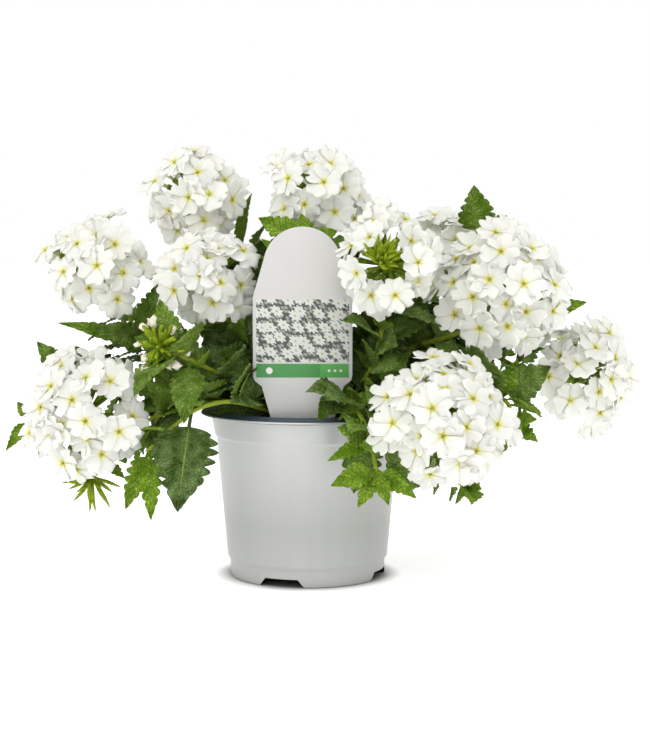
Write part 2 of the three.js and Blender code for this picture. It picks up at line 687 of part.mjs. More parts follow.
// All leaves, each with its stem, base, tip, width and facing: first those placed by hand, then the pairs
function placeLeaves() {
  const random = seededRandom(LEAF_SEED);
  const curves = Object.fromEntries(Object.keys(STEMS).map((name) => [name, stemCurve(name)]));
  const stemPoints = Object.fromEntries(Object.entries(curves).map(([name, curve]) => [
    name, Array.from({ length: STEM_SAMPLES }, (_, i) => curve.getPoint(i / (STEM_SAMPLES - 1))),
  ]));
  const leaves = [];
  const samples = [];
  const keep = (leaf) => {
    leaves.push(leaf);
    samples.push(...leafSamples(leaf));
  };
  for (const [stem, share, tip, width, toFront] of CHOSEN_LEAVES) {
    keep({ stem, base: curves[stem].getPoint(share), tip: vec(tip), width, toFront });
  }
  for (const [name, curve] of Object.entries(curves)) {
    const otherNames = Object.keys(curves).filter((other) => other !== name);
    const stems = otherNames.flatMap((other) => stemPoints[other]);
    pairStations(curve).forEach((share, pair) => {
      for (const half of [0, Math.PI]) {
        const length = LEAF_LENGTH[0] + random() * (LEAF_LENGTH[1] - LEAF_LENGTH[0]);
        const spread = LEAF_WIDTH_RANGE[0] + random() * (LEAF_WIDTH_RANGE[1] - LEAF_WIDTH_RANGE[0]);
        const width = length * LEAF_SLENDERNESS * spread;
        const turn = (pair * Math.PI) / 2 + half + FIRST_TURN;
        const tip = roomyTip(curve, share, turn, length, width, { stems, leaves: samples });
        if (tip && insidePlant(tip)) {
          keep({ stem: name, base: curve.getPoint(share), tip, width, toFront: false });
        }
      }
    });
  }
  return leaves;
}

// A slim bud from its foot to its tip
function budSolid(foot, tip, radius, grow) {
  const axis = tip.clone().sub(foot);
  const length = axis.length();
  axis.divideScalar(length);
  const [across, along] = sideways(axis);
  const ring = Array.from({ length: 4 }, (_, i) => foot.clone()
    .addScaledVector(axis, BUD_WIDEST * length)
    .addScaledVector(across, Math.cos((i * Math.PI) / 2) * (radius + grow))
    .addScaledVector(along, Math.sin((i * Math.PI) / 2) * (radius + grow)));
  const points = [foot, ...ring, tip.clone().addScaledVector(axis, grow)];
  const triangles = [];
  for (let i = 0; i < 4; i += 1) {
    const next = (i + 1) % 4;
    triangles.push([0, 1 + next, 1 + i], [1 + i, 1 + next, 5]);
  }
  return fromTriangles(points, triangles);
}

// Buds that fan out from a foot around a direction, on a small round foot of their own
function budCluster(foot, direction, { count, spread, length }, grow) {
  const [across, along] = sideways(direction);
  const knob = new THREE.IcosahedronGeometry(BUD_KNOB_RADIUS + grow, 0);
  knob.translate(foot.x, foot.y, foot.z);
  const buds = Array.from({ length: count }, (_, i) => {
    const lean = spread * Math.sqrt((i + 0.5) / count);
    const turn = i * GOLDEN_ANGLE;
    const tip = foot.clone()
      .addScaledVector(direction, Math.cos(lean) * length)
      .addScaledVector(across, Math.sin(lean) * Math.cos(turn) * length)
      .addScaledVector(along, Math.sin(lean) * Math.sin(turn) * length);
    return budSolid(foot, tip, BUD_RADIUS, grow);
  });
  return join([toSolid(knob), ...buds]);
}

function youngMiddle(grow) {
  const { centre, facing, radius } = HEADS[YOUNG_HEAD];
  const front = vec(facing).normalize();
  const foot = vec(centre).addScaledVector(front, radius * CORE_SHARE);
  return budCluster(foot, front, YOUNG_BUDS, grow);
}

function endBuds(name, grow) {
  const curve = stemCurve(name);
  return budCluster(curve.getPoint(1), curve.getTangent(1), END_BUDS[name], grow);
}

// A solid with the cutters taken out that come near it
function clearOf(solid, cutters) {
  const { min, max } = solid.boundingBox();
  let cleared = solid;
  for (const cutter of cutters) {
    const other = cutter.boundingBox();
    const apart = [0, 1, 2].some((axis) => other.min[axis] > max[axis] || other.max[axis] < min[axis]);
    if (!apart) {
      cleared = cleared.subtract(cutter);
    }
  }
  return cleared;
}

function named(name, solid, finish) {
  const mesh = new THREE.Mesh(toGeometry(biggestPiece(solid)), finish);
  mesh.name = name;
  return mesh;
}

const finishes = {
  pot: material(POT_COLOUR, 0.4),
  soil: material(SOIL_COLOUR, 0.95),
  tag: material(TAG_COLOUR, 0.35),
  petals: material(PETAL_COLOUR, 0.6),
  leaves: material(LEAF_COLOUR, 0.55),
  buds: material(BUD_COLOUR, 0.55),
};

function buildPlant() {
  const group = new THREE.Group();
  const stemNames = Object.keys(STEMS);
  const headNames = Object.keys(HEADS);
  const widerStems = Object.fromEntries(stemNames.map((name) => [name, stemSolid(name, CLEARANCE)]));
  const widerHeads = headNames.map((name) => headSolid(name, CLEARANCE));
  const widerPot = potSolid(CLEARANCE);
  const widerTag = tagSolid(CLEARANCE);
  const widerMiddle = youngMiddle(CLEARANCE);
  const allStems = Object.values(widerStems);

  group.add(named('pot', potSolid(0), finishes.pot));
  group.add(named('soil', clearOf(soilSolid(), [widerTag, ...allStems]), finishes.soil));
  group.add(named('plant_tag', tagSolid(0), finishes.tag));
  group.add(named('young_buds', youngMiddle(0), finishes.buds));
  headNames.forEach((name, i) => {
    const cutters = [widerTag, widerMiddle, ...allStems, ...widerHeads.slice(0, i)];
    group.add(named(`head_${name}`, clearOf(headSolid(name, 0), cutters), finishes.petals));
  });

  const leaves = placeLeaves();
  const taken = [];
  for (const name of stemNames) {
    const own = leaves.filter((leaf) => leaf.stem === name);
    const blades = own.map((leaf) => leafSolid(leaf, 0));
    const widerBlades = own.map((leaf) => leafSolid(leaf, CLEARANCE));
    if (name in END_BUDS) {
      blades.push(endBuds(name, 0));
      widerBlades.push(endBuds(name, CLEARANCE));
    }
    const otherStems = stemNames.filter((other) => other !== name).map((other) => widerStems[other]);
    const cutters = [widerPot, widerTag, widerMiddle, ...widerHeads, ...otherStems, ...taken];
    const cleared = blades.map((blade) => clearOf(blade, cutters));
    group.add(named(`stem_${name}`, join([stemSolid(name, 0), ...cleared]), finishes.leaves));
    taken.push(...widerBlades);
  }
  return group;
}

export default buildPlant();
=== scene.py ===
import math

import bmesh
import bpy
import numpy as np
from mathutils import Matrix, Vector, noise


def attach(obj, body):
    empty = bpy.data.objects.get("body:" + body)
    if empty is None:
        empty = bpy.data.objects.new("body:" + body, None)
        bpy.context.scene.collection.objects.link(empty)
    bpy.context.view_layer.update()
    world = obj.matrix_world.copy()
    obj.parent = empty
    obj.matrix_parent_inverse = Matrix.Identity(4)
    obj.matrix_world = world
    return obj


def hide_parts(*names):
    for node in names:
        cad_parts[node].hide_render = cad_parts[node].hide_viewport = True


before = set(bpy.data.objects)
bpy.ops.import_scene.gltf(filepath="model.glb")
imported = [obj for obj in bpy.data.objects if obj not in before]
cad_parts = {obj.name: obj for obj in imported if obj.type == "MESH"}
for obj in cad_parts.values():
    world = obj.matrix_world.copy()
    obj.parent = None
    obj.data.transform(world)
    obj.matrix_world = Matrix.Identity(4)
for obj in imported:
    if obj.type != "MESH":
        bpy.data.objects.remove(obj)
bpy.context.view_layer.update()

# All sizes are in millimetres, and finished meshes are scaled to metres. A random draw is given as its least
# value and the spread over it, and a swing as the spread on both sides of nothing
MM = 0.001
# Points closer than this are one
MERGE = 0.001
# Edges that turn by more than this many degrees stay sharp
SHARP_FROM = 35
# From here on a direction counts as upright
NEARLY_UPRIGHT = 0.9

# Camera: the photograph's place, pitch and lens
CAMERA_PLACE = (9.4, -900.0, 191.0)
CAMERA_DOWN = 5.33
CAMERA_LENS = 81.1

# Floor and light
FLOOR_REACH = 6000
FLOOR_GLOW = 0.58
# The floor's glow fades in between these distances from the pot's axis, and a painted shadow darkens the
# floor within the nearer one, fully within this share of it
GLOW_FADE = (42, 50)
SHADE_FROM = 0.9
SURROUND_FRONT = 0.95
SURROUND_BACK = 0.66
SUN_LIGHT = 1.1
SUN_SPREAD = 75
SUN_TURNS = (38, 0, -32)

# Pot
POT_HEIGHT = 90
POT_WALL = 1.2
POT_SPIN_STEPS = 128
POT_OUTSIDE = [
    (0, 0), (40.3, 0), (41.2, 0.4), (41.5, 1.3), (41.5, 8), (41.8, 9.2), (42.8, 10.6), (43, 12), (48.6, 74.5),
    (48.9, 75.2), (49.5, 75.8), (49.7, 76.6), (51.2, 85.6), (51.5, 86.2), (56.4, 87.1), (57, 87.5),
    (56.7, 88.1), (52.8, 89.8), (52, 90),
]
POT_INSIDE = [(51.4, 89.9), (50.8, 89.2), (50.2, 87), (47.3, 74.5), (41.8, 11), (40.2, 1.3), (0, 1.3)]
OVER_RIM = 1
DARK_LIP_HEIGHT = 88
SILVER_FROM_RADIUS = 38
FLANK_LEAN = 0.3
# Height where the pot's painted shade is darkest
POT_SHADE_FROM = 30
NOTCH_TURNS = (-19, 71, 161, 251)
NOTCH_BOTTOM_WIDTH = 28
NOTCH_TOP_WIDTH = 18
NOTCH_HEIGHT = 4.5
NOTCH_INNER_RADIUS = 24
BELOW_FOOT = 2
PAST_WALL = 60
DRAIN_RADIUS = 4
DRAIN_DISTANCE = 34
DRAIN_DEPTH = 12
DRAIN_SIDES = 32

# Soil
SOIL_TOP = 82
SOIL_RADIUS = 48.4
SOIL_FOOT_RADIUS = 45.2
SOIL_DEPTH = 30
SOIL_EDGE_DROP = 0.5
SOIL_SURFACE = 0.2
SOIL_RINGS = 20
SOIL_SPIN_STEPS = 72
# Lumps of the soil: how close together, and height
SOIL_LUMPS = ((0.09, 1.3), (0.45, 0.8))
SOIL_SINK = 0.4
CRUMBS = 420
CRUMB_SEED = 91
CRUMB_MARGIN = 2
CRUMB_LIFT = 0.2
CRUMB_SIZES = (0.5, 1.1)
CRUMB_WIDTHS = (0.6, 1.0)
CRUMB_HEIGHTS = (0.4, 0.4)

# Tag
TAG_THICKNESS = 0.8
TAG_EDGE_ROUND = 0.15
TAG_X = -2
TAG_Y = -41
TAG_HALF_WIDTH = 25.4
TAG_ARC_RADIUS = 20
TAG_ARC_CENTRE_Z = 166.4
TAG_ARC_END = 0.19
TAG_ARC_STEPS = 40
TAG_RIGHT_SIDE = [
    (25.4, 150.5), (25.4, 110.4), (24.9, 108.4), (23.4, 106.9), (21, 105.1), (16.7, 90.1), (14.4, 82),
    (5, 66), (1.5, 50),
]
# Boxes on the tag: left, right, bottom and top
PANEL = (-23.6, 23.6, 117.5, 149.5)
STRIP = (-23.6, 23.6, 109.6, 116.6)
PIP_ROW = (11.5, 21.0, 112.6, 113.6)
STRIP_SPLIT = 9.0
PIP_SPACING = 3.0
DISC_PLACE = (-17.0, 113.1)
DISC_RADIUS = 1.7
DAISY_SPACING = 6.4
DAISY_SLANT = 0.5
DAISY_PETALS = 8
DAISY_RADIUS = 0.43
DAISY_LOBE = 0.08
DAISY_EDGE = 30.0
DAISY_EYE = 0.1
BERRIES_PER_DAISY = 2.7
BERRY_RADIUS = 0.36

# Flower heads: centre, the way each one faces, and outer radius
HEADS = {
    "top_left": ((-59, 15, 201), (-0.25, -0.75, 0.6), 27),
    "left": ((-112, -5, 164), (-0.45, -0.7, 0.5), 29),
    "mid_left": ((-52, -22, 160), (-0.15, -0.8, 0.5), 27),
    "top_mid": ((6, 8, 202), (0.05, -0.7, 0.7), 28),
    "mid_right": ((41, -58, 167), (-0.08, -0.95, 0.18), 26),
    "right": ((100, -25, 152), (0.2, -0.8, 0.5), 34),
    "far_right": ((148, 12, 107), (0.5, -0.75, 0.4), 30),
    "low_left": ((-111, -50, 92), (-0.35, -0.85, 0.4), 32),
    "low_right": ((68, -85, 94), (0.25, -0.85, 0.45), 32),
    "top_right": ((74, 25, 176), (0.2, -0.6, 0.75), 22),
    "back_left": ((-62, 80, 152), (-0.45, 0.7, 0.55), 27),
    "back_mid": ((-4, 90, 142), (0, 0.8, 0.6), 27),
    "back_right": ((106, 76, 146), (0.5, 0.65, 0.55), 28),
}
YOUNG_HEAD = "mid_right"
YOUNG_MIDDLE = 0.62
YOUNG_SIZE = 0.9
# A floret that stands clear of the young head: its place, the way it faces and its spin
LOOSE_FLORET = ((37, -60, 192), (-0.1, -0.9, 0.35), 0.3)
HEAD_COVER = 1.85
HEAD_SEED = 9000
HEAD_SEED_STEP = 31
GOLDEN_ANGLE = 2.399963
FLORET_AREA = 250
FLORET_REACH = 11.2
FLORET_TILT = 0.8
FLORET_SINK = 2
LEAN_SWING = 0.16
TURN_SWING = 0.4
FRONT_LEAN = 0.6
RISE_GAP = 0.5
RISE_SPREAD = 8.0

# Petals: the thickness and the throat's depth are sizes, and the shape is in shares of a petal's reach
PETALS = 5
PETAL_COLUMNS = 6
PETAL_THICKNESS = 0.28
THROAT_DEPTH = 0.95
# Rows across a petal: share of its reach, and depth below the face, which draws the throat in
PETAL_ROWS = ((0.03, 0.95), (0.10, 0.28), (0.22, 0.0), (0.42, 0), (0.64, 0), (0.84, 0), (1.0, 0))
LIMB_FROM = 0.15
PETAL_FOOT = 0.05
PETAL_SWELL = 0.44
PETAL_FULL_AT = 0.78
PETAL_ROUNDNESS = 1.25
PETAL_SHOULDER = 0.34
PETAL_CREASE = 0.06
PETAL_CURL = 1.6
CLEFT_WIDTH = 0.3
CLEFT_DEPTHS = (0.16, 0.16)
PETAL_REACHES = (0.88, 0.2)
PETAL_TURN_SWING = 0.22
PETAL_LIFT_SWING = 0.3
PETAL_TWIST = 0.16
PETAL_TWIST_SWING = 0.3
CUP_SPREAD = 0.44
CUP_MIDDLE = 0.45
# Waves in a petal's rim, across it and along it: height, and how close together
RIM_WAVE = (0.035, 9.5)
RIM_WAVE_SHIFT = 3
CROSS_WAVE = (0.07, 3.6)
LENGTH_WAVE = (0.05, 7)
# A wave may start anywhere in nearly a full turn
WAVE_STARTS = 6

# Tubes and cups under the petals. Ends are the radius at each end and the number of sides
FLOWER_LENGTH = 15
FOOT_SHARE = 0.55
THROAT_END = 0.6
TUBE_FROM = 0.5
TUBE_ENDS = (0.8, 1.15, 8)
CUP_TO = 0.62
CUP_ENDS = (0.8, 1.55, 6)
# The knobbly end of the stalk, in shares of the head's radius
AXIS_WIDTH = 0.15
AXIS_FLARE = 0.4
AXIS_FULLNESS = 1.1
AXIS_LENGTH = 0.3
AXIS_SETBACK = 0.12
AXIS_SIDES = 20
AXIS_ROWS = 14
# Its knobs: height, how many go round it and their slant
AXIS_KNOBS = ((0.16, 5, 9), (0.1, 7, -6))

# Stems: where each leaves the soil and the points that it passes
STEMS = {
    "top_left": ((-6, 6), [(-13, 16, 130), (-26, 25, 156), (-42, 33, 172)]),
    "left": ((-14, -2), [(-45, 0, 108), (-80, 3, 116), (-94, 10, 132)]),
    "mid_left": ((-9, -6), [(-28, -10, 116)]),
    "top_mid": ((0, 4), [(4, 14, 130), (6, 24, 162)]),
    "mid_right": ((14, -12), [(34, -34, 116)]),
    "right": ((13, -4), [(42, -8, 116), (74, -8, 128)]),
    "far_right": ((17, 4), [(58, 14, 112), (92, 22, 118), (118, 31, 107)]),
    "low_left": ((-16, -8), [(-36, -28, 96), (-64, -35, 93)]),
    "low_right": ((11, -19), [(30, -34, 98), (43, -48, 103)]),
    "top_right": ((7, 6), [(34, 20, 126)]),
    "back_left": ((-8, 13), [(-34, 44, 112)]),
    "back_mid": ((1, 15), [(0, 44, 112)]),
    "back_right": ((11, 14), [(50, 42, 108)]),
    "left_shoot": ((-17, 4), [(-50, 6, 101), (-95, 2, 99), (-126, -12, 98), (-146, -26, 84)]),
    "fan_shoot": ((-19, -4), [(-52, -18, 97), (-86, -25, 78), (-110, -40, 58)]),
    "buds_left": ((-12, -13), [(-38, -32, 106), (-58, -50, 119), (-73, -60, 127)]),
    "over_left": ((-9, -18), [(-34, -44, 97), (-52, -53, 96), (-66, -57, 87), (-80, -61, 74)]),
    "front_shoot": ((10, -24), [(21, -43, 97), (25, -58, 96), (31, -72, 84), (35, -82, 66)]),
    "low_right_shoot": ((17, -17), [(42, -37, 97), (60, -50, 89), (76, -60, 70), (80, -72, 56)]),
    "right_shoot": ((19, -7), [(48, -26, 103), (76, -36, 104), (101, -38, 98), (106, -40, 84)]),
    "top_shoot": ((10, 0), [(40, 4, 130), (76, 6, 154), (91, 3, 181)]),
    "side_shoot": ((21, -1), [(52, 9, 119), (90, 15, 129), (118, 8, 136)]),
    "tag_shoot": ((1, -23), [(0, -28, 120), (-1, -27, 150), (0, -25, 179)]),
    "back_shoot_left": ((-15, 10), [(-50, 44, 100), (-90, 60, 92)]),
    "back_shoot_right": ((18, 11), [(62, 56, 104), (96, 84, 88)]),
}
NECK_SHARE = 0.95
TIP_SHARE = 0.35
ROOT_TAPER = 0.9
ROOT_DEPTH = 10
COLLAR_HEIGHT = 2
STEM_SIDE = 2.4
STEM_STEP = 4
FEWEST_STEM_STEPS = 6
STEM_SIDES = 12
STEM_CORNERS = 0.10
STEM_FOOT_SIZE = 1.08
STEM_SLIMMING = 0.25
STEM_ROOM = 0.8
# How finely a stem is walked, sampled and looked along
WALK_STEPS = 200
STEM_SAMPLES = 41
LOOK_AHEAD = 0.0001

# Leaves listed for each stem: share of the way along it, tip and width, and False where the blade
# doesn't face the front
CHOSEN_LEAVES = {
    "left_shoot": [
        (0.76, (-141, -18, 126), 17), (0.78, (-138, -32, 108), 12), (0.98, (-149, -34, 96), 6, False),
        (0.98, (-154, -42, 72), 7),
    ],
    "over_left": [(0.97, (-90, -66, 46), 12), (0.97, (-77, -70, 41), 11), (0.68, (-63, -78, 46), 30)],
    "buds_left": [(0.76, (-60, -74, 89), 16), (0.4, (-39, -60, 97), 16)],
    "left": [(0.56, (-109, -38, 135), 15), (0.58, (-127, -25, 137), 9), (0.6, (-75, -8, 159), 15)],
    "low_left": [(0.62, (-81, -52, 109), 15)],
    "mid_left": [(0.55, (-61, -32, 100), 24), (0.5, (-46, -36, 121), 14), (0.58, (-32, -35, 140), 13)],
    "tag_shoot": [
        (0.98, (-25, -22, 191), 14), (0.98, (16, -26, 184), 11), (0.99, (-3, -22, 193), 10),
        (0.84, (-23, -29, 180), 10),
    ],
    "top_left": [(0.62, (-30, 5, 204), 7, False)],
    "top_shoot": [(0.99, (88, -1, 208), 18), (0.99, (107, 10, 192), 12)],
    "side_shoot": [(0.97, (146, -11, 147), 14)],
    "far_right": [(0.64, (123, -18, 123), 10)],
    "right_shoot": [
        (0.78, (124, -50, 116), 20), (0.78, (107, -46, 119), 11), (0.8, (118, -56, 93), 10, False),
        (0.97, (115, -54, 90), 12), (0.99, (117, -52, 78), 9),
    ],
    "low_right": [(0.56, (16, -68, 91), 8, False), (0.42, (32, -74, 86), 9, False)],
    "low_right_shoot": [(0.98, (86, -86, 59), 12), (0.98, (80, -94, 53), 12, False)],
    "front_shoot": [
        (0.98, (12, -94, 62), 12), (0.98, (53, -96, 57), 10), (0.99, (25, -94, 51), 9),
        (0.99, (40, -99, 53), 9), (0.9, (35, -91, 88), 14), (0.82, (15, -82, 89), 13),
        (0.84, (11, -90, 74), 8),
    ],
    "mid_right": [(0.55, (46, -58, 127), 17), (0.5, (48, -62, 116), 14)],
}

# Leaves that are added last: one leans over the rim, one fills a gap under the heads
LATE_LEAVES = {
    "buds_left": [(0.3, (-48, -33, 92), 17)],
    "mid_left": [(0.5, (-60, 0, 134), 17)],
}

# Leaves placed by rule: the pairs of the solids, then smaller ones that fill the gaps between them. Room is
# the least that a leaf needs, and how much is enough to end the search for a better tip
PAIR_ROUNDS = [
    {"spacing": 58, "first": 23, "last": 1, "length": (29, 40), "slender": 0.48, "room": (4, 4.6)},
    {"spacing": 15, "first": 13, "last": 0.88, "length": (24, 36), "slender": 0.56, "room": (1, 2.6)},
    {"spacing": 22, "first": 19, "last": 0.95, "length": (12, 19), "slender": 0.52, "room": (0.7, 1.5)},
]
PLANT_MIDDLE = (8, 0, 112)
PLANT_REACH = (146, 108, 91)
LEAF_PITCHES = (1.0, 0.7, 1.3, 0.45, 1.6)
LEAF_YAWS = (0, 0.5, -0.5, 1, -1)
LEAF_SEED = 4711
LEAF_WIDTHS = (0.9, 0.2)
# No small leaf hangs below this height in front of this stretch of the pot
BARE_FACE = (-62, 6)
BARE_HEIGHT = 96
FIRST_TURN = 0.4
LOWEST_LEAF = 8
COLLAR_Z = 84
RIM_RADIUS = 57
FOOT_RADIUS = 43
POT_SLOPE = 0.11
# Where a leaf's room is measured: shares of its length, and of its half width
ROOM_SHARES = (0.35, 0.5, 0.65, 0.8)
ROOM_SIDES = (-1, -0.5, 0, 0.5, 1)

# Blades: the petiole's half width and the thickness are sizes, the rest are shares, counts and directions
PETIOLE_SHARE = 0.16
PETIOLE_HALF_WIDTH = 0.9
PETIOLE_ROWS = 2
LEAF_OUTWARD = 0.5
LEAF_UPWARD = 0.8
FRONT_SKY = (0, -1, 0.35)
LEAF_ARCH = 0.07
LEAF_FOLD = 0.22
LEAF_THICKNESS = 0.5
LEAF_TAPER = 0.28
BLADE_END = 0.999
OVATE_LEAN = 0.6
OVATE_FULLNESS = 0.85
# Blades are drawn this much fuller than the room that is kept for them
LEAF_FULLNESS = 1.14
LEAF_CURL = 0.35
CURL_FROM = 0.25
CURL_SPREAD = 0.8
CURL_MIDDLE = 0.6
VEIN_SLOPE = 0.42
VEIN_COUNT = 7.5
VEIN_START = 0.48
QUILT_DEPTH = 0.028
QUILT_RISE = 4
EDGE_FORWARD = 0.05
EDGE_RIPPLE = 0.035
EDGE_RIPPLES = 17
# Teeth on a side, columns and depth of the teeth of a leaf that is longer than the first number
LEAF_FORMS = ((38, 8, 8, 0.16), (24, 6, 6, 0.2), (0, 4, 4, 0.26))
TOOTH_ROWS = 6
TOOTH_LEAN = 1.3
TOOTH_BLUNTNESS = 0.6
TOOTH_DEPTH_SPREAD = 0.14
TOOTH_FADE = 3
# How much the teeth differ, along the leaf and from side to side
TOOTH_DIFFERENCE = 0.5
TOOTH_CHANGE = (9, 2)
# Leaves near the foot of a stem are older, and so are wide ones
AGE_AT_FOOT = 1.15
AGE_WIDTH = 15
AGE_PER_WIDTH = 20
AGE_SWING = 0.3

# Buds in the young head: count, spread and length, then the way they point and where they grow
YOUNG_BUDS = (38, 0.95, 14)
YOUNG_WAY = (0.35, -0.72, 0.6)
YOUNG_SHIFT = (-4, 0, -1)
YOUNG_RISE = 0.6
YOUNG_THICKNESS = 0.9
# Buds on the ends of shoots: count, spread, length, thickness and the way that each cluster points
END_BUDS = {
    "buds_left": (34, 1.75, 13, 0.9, (0.3, -0.75, 0.15)),
    "fan_shoot": (20, 1.3, 17, 0.9, (-0.1, -0.45, -0.85)),
}
OPENING_BUDS = "buds_left"
CLOSED_BUDS = 23
BUD_START = 1.5
BUD_LENGTHS = (0.7, 0.45)
BUD_LEAN_SWING = 0.4
BUD_TURN_SWING = 0.8
# The thick end of a stalk that buds grow from
BUD_BASE_LENGTH = 2.5
BUD_BASE_ENDS = (1.0, 2.4, 10)
# Rows along a calyx: share of its length and swell
BLUNT_CALYX = ((0.0, 0.5), (0.2, 0.68), (0.5, 0.88), (0.75, 1.0), (0.92, 0.85), (1.0, 0.3))
POINTED_CALYX = ((0.0, 0.6), (0.2, 0.85), (0.45, 1.0), (0.65, 0.9), (0.85, 0.5), (1.0, 0.08))
CALYX_RIBS = 5
CALYX_RIB_DEPTH = 0.2
CALYX_BOW = 1.6
HAIRS_PER_CALYX = 12
HAIR_ENDS = (0.09, 0, 3)
HAIR_ROOT = 0.9
HAIR_LEAN = 0.6
HAIR_LENGTHS = (0.7, 0.6)
# The lump of folded petals on an opening bud
PETAL_BUD_RISE = 0.6
PETAL_BUD_RADII = (1.5, 1.0)
PETAL_BUD_LUMP = 0.9
PETAL_BUD_CREASES = 2.1
PETAL_BUD_STRETCH = 0.15
PETAL_BUD_SHIFT = 9
PLANT_SEED = 77


def set_up_camera():
    """The camera at the photograph's viewing angle."""
    data = bpy.data.cameras.new("camera")
    data.lens = CAMERA_LENS
    camera = bpy.data.objects.new("camera", data)
    camera.location = Vector(CAMERA_PLACE) * MM
    camera.rotation_euler = (math.radians(90 - CAMERA_DOWN), 0, 0)
    bpy.context.scene.collection.objects.link(camera)
    bpy.context.scene.camera = camera


def set_up_floor():
    bm = bmesh.new()
    bmesh.ops.create_grid(bm, x_segments=1, y_segments=1, size=FLOOR_REACH * MM)
    floor = mesh_object("floor", bm)
    floor.data.materials.append(floor_white())


def set_up_light():
    """A white surround that is a little brighter in front, and one soft light from the upper left."""
    world = bpy.data.worlds.new("studio")
    world.use_nodes = True
    nodes = Nodes(world, "Background")
    nodes.set("Color", (1, 1, 1, 1))
    way = nodes.parts(nodes.add("ShaderNodeTexCoord", output="Generated"))
    light = nodes.span(way[1], (-1, 1), (SURROUND_FRONT, SURROUND_BACK))
    seen = nodes.add("ShaderNodeLightPath", output="Is Camera Ray")
    nodes.set("Strength", nodes.span(seen, (0, 1), (light, 1.0)))
    bpy.context.scene.world = world
    sun = bpy.data.lights.new("key", "SUN")
    sun.energy = SUN_LIGHT
    sun.angle = math.radians(SUN_SPREAD)
    lamp = bpy.data.objects.new("key", sun)
    lamp.rotation_euler = [math.radians(turn) for turn in SUN_TURNS]
    bpy.context.scene.collection.objects.link(lamp)
    bpy.context.scene.view_settings.view_transform = "Standard"


# Materials

class Signal:
    """A value that a shader works out. Sums with it are written as with a number."""

    def __init__(self, nodes, socket):
        self.nodes = nodes
        self.socket = socket

    def __add__(self, other):
        return self.nodes.math("ADD", self, other)

    def __sub__(self, other):
        return self.nodes.math("SUBTRACT", self, other)

    def __rsub__(self, other):
        return self.nodes.math("SUBTRACT", other, self)

    def __mul__(self, other):
        return self.nodes.math("MULTIPLY", self, other)

    def __truediv__(self, other):
        return self.nodes.math("DIVIDE", self, other)


class Nodes:
    """Short ways to add and link the shader nodes of one material or world."""

    def __init__(self, owner, shader="Principled BSDF"):
        self.tree = owner.node_tree
        self.shader = self.tree.nodes[shader]

    def join(self, value, entry):
        """Links a signal to an input, or gives the input a plain value."""
        if isinstance(value, Signal):
            self.tree.links.new(value.socket, entry)
        else:
            entry.default_value = value

    def set(self, name, value):
        self.join(value, self.shader.inputs[name])

    def add(self, kind, inputs=None, output=0, **settings):
        node = self.tree.nodes.new(kind)
        for key, value in settings.items():
            setattr(node, key, value)
        for key, value in (inputs or {}).items():
            self.join(value, node.inputs[key])
        return Signal(self, node.outputs[output])

    def also(self, signal, output):
        """Another output of the node that a signal comes from."""
        return Signal(self, signal.socket.node.outputs[output])

    def math(self, operation, first, second=0.0, clamp=False):
        return self.add("ShaderNodeMath", {0: first, 1: second}, operation=operation, use_clamp=clamp)

    def largest(self, first, second):
        return self.math("MAXIMUM", first, second)

    def mix(self, factor, first, second):
        """From the first colour to the second as the factor goes from zero to one."""
        colours = [value if isinstance(value, Signal) else (*value, 1) for value in (first, second)]
        inputs = {"Factor": factor, 6: colours[0], 7: colours[1]}
        return self.add("ShaderNodeMix", inputs, output=2, data_type="RGBA")

    def span(self, value, start, end):
        """The value carried from one range to another."""
        return self.add("ShaderNodeMapRange", {
            "Value": value, "From Min": start[0], "From Max": start[1], "To Min": end[0], "To Max": end[1]})

    def band(self, value, low, high, soft):
        """One between low and high, falling to nothing over the soft width outside them."""
        return self.span(value, (low - soft, low), (0, 1)) * self.span(value, (high + soft, high), (0, 1))

    def box(self, x, z, sides, soft):
        """One in a box with the given left, right, bottom and top."""
        return self.band(x, sides[0], sides[1], soft) * self.band(z, sides[2], sides[3], soft)

    def noise(self, vector, scale, detail=3.0):
        inputs = {"Vector": vector, "Scale": scale, "Detail": detail}
        return self.add("ShaderNodeTexNoise", inputs, output="Fac")

    def cells(self, vector, scale, randomness=1.0, **settings):
        """How far a place is from the middle or the edge of its cell."""
        inputs = {"Vector": vector, "Scale": scale, "Randomness": randomness}
        return self.add("ShaderNodeTexVoronoi", inputs, output="Distance", **settings)

    def place(self):
        return self.add("ShaderNodeTexCoord", output="Object")

    def parts(self, vector):
        """The three parts of a vector."""
        first = self.add("ShaderNodeSeparateXYZ", {0: vector})
        return first, self.also(first, 1), self.also(first, 2)

    def uv(self):
        across, along, _ = self.parts(self.add("ShaderNodeUVMap", uv_map="UVMap"))
        return across, along

    def colour(self, value):
        self.set("Base Color", value)

    def roughness(self, value, low, high):
        self.set("Roughness", self.span(value, (0, 1), (low, high)))

    def bump(self, height, strength, distance):
        self.set("Normal", self.add(
            "ShaderNodeBump", {"Height": height, "Strength": strength, "Distance": distance}))


def new_material(name, plain):
    """A material with the plain values of its shader, and its nodes for the pattern."""
    material = bpy.data.materials.new(name)
    material.use_nodes = True
    nodes = Nodes(material)
    for key, value in plain.items():
        nodes.set(key, value)
    return material, nodes


def floor_white():
    """A white floor with a glow that fades out under the pot, and a painted shadow that darkens it under the
    pot.
    """
    material, nodes = new_material("floor_white", {"Roughness": 0.9, "Emission Color": (1, 1, 1, 1)})
    shade = (0.25, 0.25, 0.25)
    white = (0.8, 0.8, 0.8)
    from_axis = nodes.add("ShaderNodeVectorMath", {0: nodes.place()}, output="Value", operation="LENGTH")
    near, far = (radius * MM for radius in GLOW_FADE)
    nodes.set("Emission Strength", nodes.span(from_axis, (near, far), (0, FLOOR_GLOW)))
    # Painted shadow: the floor's colour goes from white to grey under the pot
    nodes.colour(nodes.mix(nodes.span(from_axis, (near * SHADE_FROM, near), (0, 1)), shade, white))
    return material


